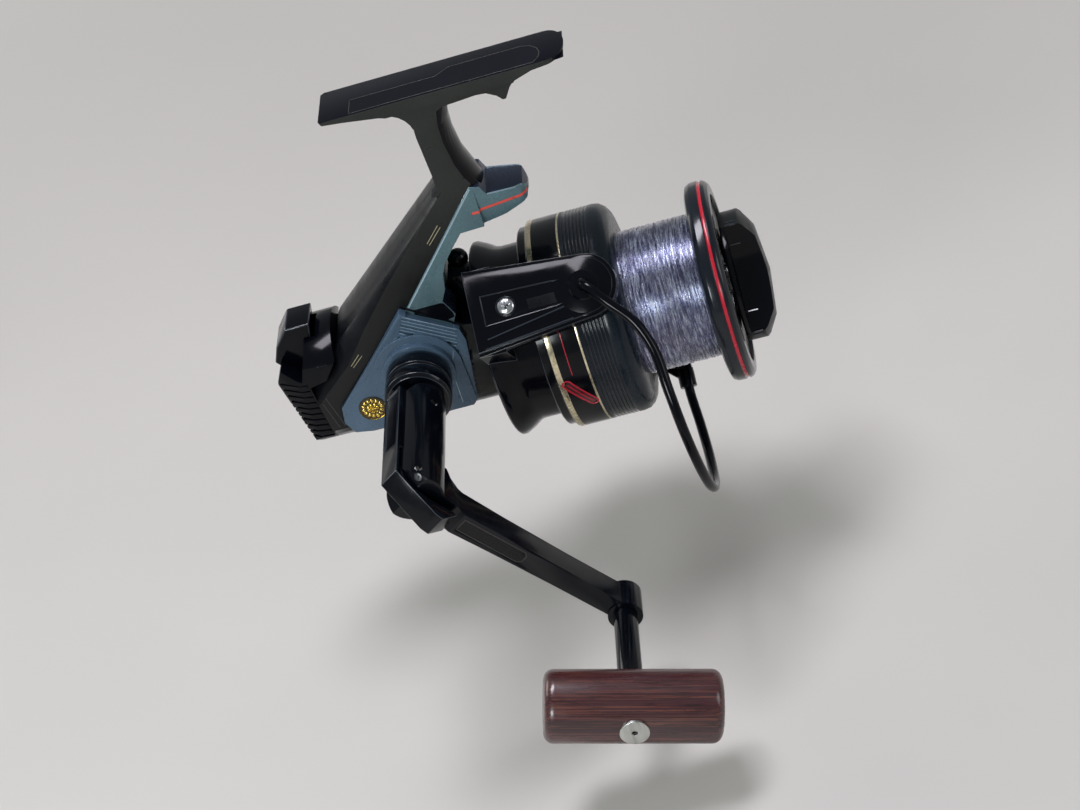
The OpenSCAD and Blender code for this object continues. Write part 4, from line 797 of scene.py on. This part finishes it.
def ringProfile(x0, x1, proud):
    r = skirtRings["radius"]
    inner, edge, high = r - 0.3, r + proud * 0.7, r + proud
    return [(inner, x0), (edge, x0), (high, x0 + 0.05), (high, x1 - 0.05), (edge, x1), (inner, x1)]


def skirtBands():
    for name, bands, proud, look, slot in (("goldRings", ("wideGold", "thinGold"), 0.05, "goldFoil", "brass"),
                                           ("darkBand", ("darkBand",), 0.02, "bandBlack", "spool_plastic")):
        bm = bmesh.new()
        for band in bands:
            lathe(bm, sideways, ringProfile(*skirtRings[band], proud), 128)
        newPiece(name, bm, [look], "spool", slot, outward=True)


skirtBands()

capsules = {"places": (-171.6, 8.4), "span": (8.7, 16.2), "turn": 19.4, "width": 2.7, "rimWidth": 0.5, "rimProud": 0.2,
            "coreReach": 0.4, "coreProud": 0.07, "barWidth": 0.34, "barProud": 0.16,
            "lineAt": 12.0, "lineFrom": -13.0, "lineTo": -37.0, "lineWidth": 0.26}


def onSkirt(x, turn):
    # a point of the skirt and the way out of it
    out = Vector((0, math.cos(turn), math.sin(turn)))
    r = skirtRings["radius"]
    return Vector((x, r * math.cos(turn), r * math.sin(turn) + layout["axisHeight"])) * mm, out


def redCapsules():
    # slanted capsules with a thin line beside them, pressed into the dark band
    bm = bmesh.new()
    x0, x1 = capsules["span"]
    half = math.radians(capsules["turn"]) / 2 * skirtRings["radius"]
    w = capsules["width"] / 2
    lean = math.atan2(2 * half, x1 - x0)
    length = math.hypot(2 * half, x1 - x0) / 2 - w
    core = length + capsules["coreReach"] * w

    def band(pairs, width, proud, closed=False, look=0):
        strip(bm, [p for p, n in pairs], [n for p, n in pairs], width * mm, proud, closed, look)

    for middle in [math.radians(place) for place in capsules["places"]]:

        def bend(along, across):
            x = (x0 + x1) / 2 + along * math.cos(lean) - across * math.sin(lean)
            return onSkirt(x, middle + (along * math.sin(lean) + across * math.cos(lean)) / skirtRings["radius"])

        rim = []
        for end in (1, -1):
            for a in [math.radians(-90 + 18 * k) for k in range(11)]:
                rim.append(bend(end * (length + w * math.cos(a)), end * w * math.sin(a)))
            rim += [bend(end * length * (1 - 2 * k / 10), end * w) for k in range(1, 10)]
        band(rim, capsules["rimWidth"], capsules["rimProud"], True)
        band([bend(-core + 2 * core * k / 12, 0) for k in range(13)], 1.7 * w, capsules["coreProud"], look=1)
        band([bend(-length + 2 * length * k / 12, 0) for k in range(13)], capsules["barWidth"], capsules["barProud"])
        first, last = capsules["lineFrom"], capsules["lineTo"]
        turns = [middle + math.radians(first + (last - first) * k / 17) for k in range(18)]
        band([onSkirt(capsules["lineAt"], turn) for turn in turns], capsules["lineWidth"], 0.05)
    newPiece("redCapsules", bm, ["redEnamel", "darkRed"], "spool", "spool_plastic")


redCapsules()

dragShape = {"rounding": 0.6, "lie": -28, "sideTilt": 0.72, "sideHalf": 14.5, "backTo": 66.6, "frontTilt": 0.8,
             "frontTo": 69, "ridgeAngles": (30, 34, 38), "ridgeWidth": 0.45, "ridgeProud": 0.22,
             "ridgeStations": (66.9, 67.6, 68.4, 69.2, 70)}
dragKnob = softened("drag_knob", "dragKnob", dragShape["rounding"], 3, ["knobGrey", "glossBlack", "blackEdgeHighlight"], 2)
toKnob = turned(-dragShape["lie"], "X").to_3x3()


def knobPaint(c, n):
    across = (toKnob @ Vector((c.x, c.y, c.z - layout["axisHeight"]))).y
    side = abs((toKnob @ n).y) > dragShape["sideTilt"] and abs(across) < dragShape["sideHalf"]
    front = n.x > dragShape["frontTilt"] and c.x < dragShape["frontTo"]
    return int(side or c.x < dragShape["backTo"] or front)


repaint(dragKnob, knobPaint, keep=(2,))


def knobRidges():
    surface = surfaceOf(dragKnob)
    bm = bmesh.new()
    for base, side in ((90, -1), (90, 1), (270, -1), (270, 1)):
        for a in dragShape["ridgeAngles"]:
            turn = math.radians(base + side * a + dragShape["lie"])
            out = Vector((0, math.cos(turn), math.sin(turn)))
            starts = [Vector((x, 0, layout["axisHeight"])) * mm + out * 0.04 for x in dragShape["ridgeStations"]]
            points, _ = laidOn(surface, starts, [-out] * len(starts))
            if len(points) > 2:
                strip(bm, points, [out] * len(points), dragShape["ridgeWidth"] * mm, dragShape["ridgeProud"])
    # the ridges are coloured in the lighter black of a painted highlight
    newPiece("knobRidges", bm, ["blackEdgeHighlight"], "drag", "knob_paint")


knobRidges()
print("spool dressed")


# geometry node helpers

def newTree(name, **inputs):
    tree = bpy.data.node_groups.new(name, "GeometryNodeTree")
    tree.interface.new_socket("Geometry", in_out="INPUT", socket_type="NodeSocketGeometry")
    sockets = {}
    for label, value in inputs.items():
        socket = tree.interface.new_socket(label, in_out="INPUT", socket_type="NodeSocketFloat")
        socket.default_value = value
        sockets[label] = socket.identifier
    tree.interface.new_socket("Geometry", in_out="OUTPUT", socket_type="NodeSocketGeometry")
    return tree, tree.nodes.new("NodeGroupInput").outputs, sockets


def add(tree, kind, links=None, **settings):
    node = tree.nodes.new(kind)
    for key, value in settings.items():
        setattr(node, key, value)
    for socket, value in (links or {}).items():
        target = node.inputs[socket]
        if isinstance(value, bpy.types.NodeSocket):
            tree.links.new(value, target)
        else:
            target.default_value = value
    return node


def mathNode(tree, operation, a, b=0.0):
    return add(tree, "ShaderNodeMath", {0: a, 1: b}, operation=operation).outputs[0]


def vectorNode(tree, operation, a, b=(0, 0, 0)):
    return add(tree, "ShaderNodeVectorMath", {0: a, 1: b}, operation=operation).outputs["Vector"]


def times(tree, a, b):
    return mathNode(tree, "MULTIPLY", a, b)


def inXyz(tree, **parts):
    return add(tree, "ShaderNodeCombineXYZ", parts).outputs[0]


def finishTree(tree, geometry, look):
    whole = add(tree, "GeometryNodeRealizeInstances", {"Geometry": geometry})
    coated = add(tree, "GeometryNodeSetMaterial", {"Geometry": whole.outputs[0], "Material": looks[look]})
    tree.links.new(coated.outputs[0], tree.nodes.new("NodeGroupOutput").inputs[0])


def grown(name, base, tree, sockets, values):
    mesh = bpy.data.meshes.new(name)
    base.to_mesh(mesh)
    base.free()
    obj = bpy.data.objects.new(name, mesh)
    collection.objects.link(obj)
    modifier = obj.modifiers.new("grow", "NODES")
    modifier.node_group = tree
    for label, value in values.items():
        modifier[sockets[label]] = value
    settle(obj)
    return obj


# wound line: one long spiral, a few strands laid across it

def woundTree():
    tree, given, sockets = newTree("woundLine", turns=64.0, strand=0.0002, coil=0.0225, length=0.0226, start=0.033,
                                   wander=0.0002, lift=0.0001, seed=0.0)
    spiral = add(tree, "GeometryNodeCurveSpiral", {
        "Resolution": 120, "Rotations": given["turns"], "Start Radius": given["coil"], "End Radius": given["coil"],
        "Height": given["length"]})
    run = times(tree, add(tree, "GeometryNodeSplineParameter").outputs["Factor"], given["turns"])
    offsets = []
    for shift, pace in ((3.1, 4.3), (71.7, 6.1)):
        w = mathNode(tree, "ADD", times(tree, run, pace), mathNode(tree, "ADD", given["seed"], shift))
        noise = add(tree, "ShaderNodeTexNoise", {"W": w, "Scale": 1.0, "Detail": 2.0}, noise_dimensions="1D")
        offsets.append(mathNode(tree, "SUBTRACT", noise.outputs[0], 0.5))
    place = add(tree, "GeometryNodeInputPosition").outputs[0]
    outward = vectorNode(tree, "NORMALIZE", vectorNode(tree, "MULTIPLY", place, (1, 1, 0)))
    lift = add(tree, "ShaderNodeVectorMath", {0: outward, "Scale": times(tree, offsets[0], given["lift"])},
               operation="SCALE").outputs["Vector"]
    offset = vectorNode(tree, "ADD", lift, inXyz(tree, Z=times(tree, offsets[1], given["wander"])))
    path = add(tree, "GeometryNodeSetPosition", {"Geometry": spiral.outputs[0], "Offset": offset})
    section = add(tree, "GeometryNodeCurvePrimitiveCircle", {"Resolution": 6, "Radius": given["strand"]})
    tube = add(tree, "GeometryNodeCurveToMesh", {"Curve": path.outputs[0], "Profile Curve": section.outputs[0],
                                                 "Fill Caps": True})
    laid = add(tree, "GeometryNodeTransform", {
        "Geometry": tube.outputs[0], "Rotation": (0, math.radians(90), 0),
        "Translation": inXyz(tree, X=given["start"], Z=layout["axisHeight"] * mm)})
    smooth = add(tree, "GeometryNodeSetShadeSmooth", {"Geometry": laid.outputs[0]})
    finishTree(tree, smooth.outputs[0], "nylonLine")
    return tree, sockets


winding = {"start": 32.95, "length": 22.7, "turns": 82.0, "coil": 22.56, "strand": 0.165, "wander": 0.7, "lift": 0.4,
           "seed": 4.0}
crossing = {"start": winding["start"] + 0.3, "length": winding["length"] - 0.6, "turns": (7.0, 9.5, 5.5), "coil": 22.72,
            "strand": 0.17, "wander": 2.6, "lift": 0.06, "seed": 20.0, "seedStep": 7}
bed = {"inner": 19.0, "under": 0.12, "from": 32.6, "to": 56.0, "first": 32.9, "pitch": 0.45, "depth": 0.05, "count": 51}
lineTree, lineSockets = woundTree()


def laidLine(name, sizes, turns, seed):
    inMetres = {k: sizes[k] * mm for k in ("start", "length", "coil", "strand", "wander", "lift")}
    return grown(name, bmesh.new(), lineTree, lineSockets, {"turns": turns, "seed": seed, **inMetres})


attach(laidLine("woundLine", winding, winding["turns"], winding["seed"]), "spool", "line", "line_winding")
for k, turns in enumerate(crossing["turns"]):
    over = laidLine("lineOver%d" % (k + 1), crossing, turns, crossing["seed"] + crossing["seedStep"] * k)
    if k % 2:
        for v in over.data.vertices:  # laid the other way
            v.co.x = (2 * winding["start"] + winding["length"]) * mm - v.co.x
        over.data.flip_normals()
    attach(over, "spool", "line")


def lineBed():
    bm = bmesh.new()
    r = winding["coil"] - bed["under"]
    waves = [(r - bed["depth"] * (i % 2), bed["first"] + bed["pitch"] * i) for i in range(bed["count"])]
    ends = [[(bed["inner"], x), (r, x)] for x in (bed["from"], bed["to"])]
    lathe(bm, sideways, ends[0] + waves + ends[1][::-1])
    newPiece("lineBed", bm, ["nylonLine"], "spool", "line", "line_core", outward=True)


lineBed()
print("line wound")


# screw heads with cross recesses, grown on one point each

def screwTree():
    tree, given, sockets = newTree("crossHeads", radius=0.0026, height=0.0012, slot=0.0006, depth=0.0008)
    ball = add(tree, "GeometryNodeMeshUVSphere", {"Segments": 32, "Rings": 16, "Radius": given["radius"]})
    flat = inXyz(tree, X=1.0, Y=1.0, Z=mathNode(tree, "DIVIDE", given["height"], given["radius"]))
    dome = add(tree, "GeometryNodeTransform", {"Geometry": ball.outputs[0], "Scale": flat})
    cut = add(tree, "GeometryNodeMeshBoolean", {"Mesh 1": dome.outputs[0]}, operation="DIFFERENCE")
    for long, short in (("X", "Y"), ("Y", "X")):
        size = inXyz(tree, **{long: times(tree, given["radius"], 1.15), short: given["slot"],
                              "Z": times(tree, given["depth"], 2.0)})
        cube = add(tree, "GeometryNodeMeshCube", {"Size": size})
        cutter = add(tree, "GeometryNodeTransform", {"Geometry": cube.outputs[0],
                                                     "Translation": inXyz(tree, Z=given["height"])})
        tree.links.new(cutter.outputs[0], cut.inputs["Mesh 2"])
    facing = add(tree, "GeometryNodeInputNamedAttribute", {"Name": "facing"}, data_type="FLOAT_VECTOR")
    aimed = add(tree, "FunctionNodeAlignRotationToVector", {"Vector": facing.outputs["Attribute"]}, axis="Z")
    heads = add(tree, "GeometryNodeInstanceOnPoints", {"Points": given["Geometry"], "Instance": cut.outputs[0],
                                                       "Rotation": aimed.outputs[0]})
    finishTree(tree, heads.outputs[0], "screwSteel")
    return tree, sockets


headTree, headSockets = screwTree()


def screwHeads(name, node, spots, radius, height, look="screwSteel"):
    # spots: (point, way out); the head's rim lies on the point, radius and height are in mm
    bm = bmesh.new()
    layer = bm.verts.layers.float_vector.new("facing")
    for point, outward in spots:
        bm.verts.new(point)[layer] = outward.normalized()
    obj = grown(name, bm, headTree, headSockets, {
        "radius": radius * mm, "height": height * mm, "slot": radius * 0.24 * mm, "depth": height * 0.75 * mm})
    obj.data.materials.clear()
    obj.data.materials.append(looks[look])
    smoothed(obj.data, 35)
    if node:
        attach(obj, bodyOf[node], slotOf[node], node)
    else:
        attach(obj, "crank", "steel")


screws = {"armCover": (-1, 0, 39.2), "bailArm": (layout["bailPivot"], 0, 42.2),
          "roller": (layout["bailPivot"] + 14.4, 11.6, 41.9), "coverDepth": 14.1,
          "cover": [(-61.3, -101.5), (-26.5, -101.5), (-35, -71)], "tail": [(-77, -8, -91), (-77, 8, -91)],
          "elbow": (-32.52, -79.2, -80.74), "elbowWay": (-0.29, -0.86, 0.43)}
for name, node, spot, matrix, radius, height in (
        ("armCoverScrewHead", "arm_cover_screw", screws["armCover"], rotorFrame, 2.7, 1.0),
        ("bailArmScrewHead", "bail_arm_screw", screws["bailArm"], farRotor, 3.2, 1.3),
        ("rollerScrewHead", "roller_screw", screws["roller"], farRotor, 2.2, 0.95)):
    screwHeads(name, node, [(framePoint(matrix, *spot), frameWay(matrix, 0, 0, 1))], radius, height)
coverSpots = [(Vector((x, screws["coverDepth"], z)) * mm, Vector((0, 1, 0))) for x, z in screws["cover"]]
screwHeads("coverScrewHeads", "cover_screws", coverSpots, 2.6, 1.15)
tailSpots = [(Vector(spot) * mm, Vector((-1, 0, 0))) for spot in screws["tail"]]
screwHeads("tailScrewHeads", "rear_cap_screws", tailSpots, 2.1, 1.1)
elbowSpot = (Vector(screws["elbow"]) * mm, Vector(screws["elbowWay"]))
screwHeads("elbowScrewHead", None, [elbowSpot], 1.3, 0.16, "darkSteel")
print("screws set")


# floor, lamps and camera

def addLamp(name, place, size, power, color=(1, 1, 1)):
    lamp = bpy.data.lights.new(name, "AREA")
    lamp.shape = "RECTANGLE"
    lamp.size, lamp.size_y = size
    lamp.energy = power
    lamp.color = color
    obj = bpy.data.objects.new(name, lamp)
    obj.location = place
    obj.rotation_euler = (Vector(studio["middle"]) - Vector(place)).to_track_quat("-Z", "Y").to_euler()
    collection.objects.link(obj)


floorShape = {"height": -186, "half": 6.0, "color": (0.575, 0.55, 0.515), "fade": (0.32, 0.95), "roughness": 0.6}
studio = {"middle": (0, 0, -0.09), "backdrop": (0.60, 0.585, 0.57), "sky": (0.93, 0.97, 1), "skyPower": 0.27}


def stageFloor():
    bm = bmesh.new()
    bmesh.ops.create_grid(bm, x_segments=2, y_segments=2, size=floorShape["half"])
    mesh = bpy.data.meshes.new("floor")
    bm.to_mesh(mesh)
    bm.free()
    floor = bpy.data.objects.new("floor", mesh)
    for v in mesh.vertices:
        v.co.z = floorShape["height"] * mm
    collection.objects.link(floor)
    tree, shader, place = newMaterial("paleFloor")
    cloud = ramp(tree, noiseField(tree, place, 3.0, 4),
                 [(0.35, shade(floorShape["color"], 0.97)), (0.65, shade(floorShape["color"], 1.03))])
    tree.links.new(cloud, shader.inputs["Base Color"])
    shader.inputs["Roughness"].default_value = floorShape["roughness"]
    # far off, the floor runs into the backdrop without a horizon
    away = tree.nodes.new("ShaderNodeVectorMath")
    away.operation = "LENGTH"
    tree.links.new(place, away.inputs[0])
    glow = tree.nodes.new("ShaderNodeEmission")
    glow.inputs["Color"].default_value = (*studio["backdrop"], 1)
    both = tree.nodes.new("ShaderNodeMixShader")
    tree.links.new(spread(tree, away.outputs["Value"], 0, 1, *floorShape["fade"]), both.inputs[0])
    tree.links.new(shader.outputs[0], both.inputs[1])
    tree.links.new(glow.outputs[0], both.inputs[2])
    tree.links.new(both.outputs[0], tree.nodes["Material Output"].inputs["Surface"])
    mesh.materials.append(looks["paleFloor"])


stageFloor()
# place and size in metres, power in watts, colour
addLamp("topSoftbox", (-0.06, 0.08, 0.72), (0.4, 0.24), 5.2, (0.92, 0.91, 1.0))
addLamp("frontSoftbox", (-0.42, -0.95, 0.32), (0.38, 0.26), 5.4, (0.92, 0.98, 1.0))
addLamp("sideSoftbox", (0.9, -0.35, 0.35), (0.4, 0.5), 1.8)
addLamp("backSoftbox", (-0.9, 0.5, 0.35), (0.6, 0.4), 2.4)
world = bpy.data.worlds.new("studio")
bpy.context.scene.world = world
world.use_nodes = True
worldTree = world.node_tree
sky = worldTree.nodes["Background"]
sky.inputs["Color"].default_value = (*studio["sky"], 1)
sky.inputs["Strength"].default_value = studio["skyPower"]
backdrop = worldTree.nodes.new("ShaderNodeBackground")  # what the camera sees behind everything
backdrop.inputs["Color"].default_value = (*studio["backdrop"], 1)
chosen = worldTree.nodes.new("ShaderNodeMixShader")
worldTree.links.new(worldTree.nodes.new("ShaderNodeLightPath").outputs["Is Camera Ray"], chosen.inputs[0])
worldTree.links.new(sky.outputs[0], chosen.inputs[1])
worldTree.links.new(backdrop.outputs[0], chosen.inputs[2])
worldTree.links.new(chosen.outputs[0], worldTree.nodes["World Output"].inputs["Surface"])

view = {"focal": 76.667, "azimuth": 11.0366, "elevation": 35.4834, "roll": 20.8229,
        "place": (0.108918, -0.594842, 0.307753)}
camera = bpy.data.cameras.new("camera")
camera.lens = view["focal"]
camera.sensor_width = 36
camera.clip_start = 0.01
camera.clip_end = 20
cameraObject = bpy.data.objects.new("camera", camera)
cameraObject.matrix_world = (Matrix.Translation(view["place"]) @ turned(view["azimuth"], "Z")
                             @ turned(90 - view["elevation"], "X") @ turned(-view["roll"], "Z"))
collection.objects.link(cameraObject)
bpy.context.scene.camera = cameraObject
bpy.context.scene.view_settings.view_transform = "Standard"
print("stage set")
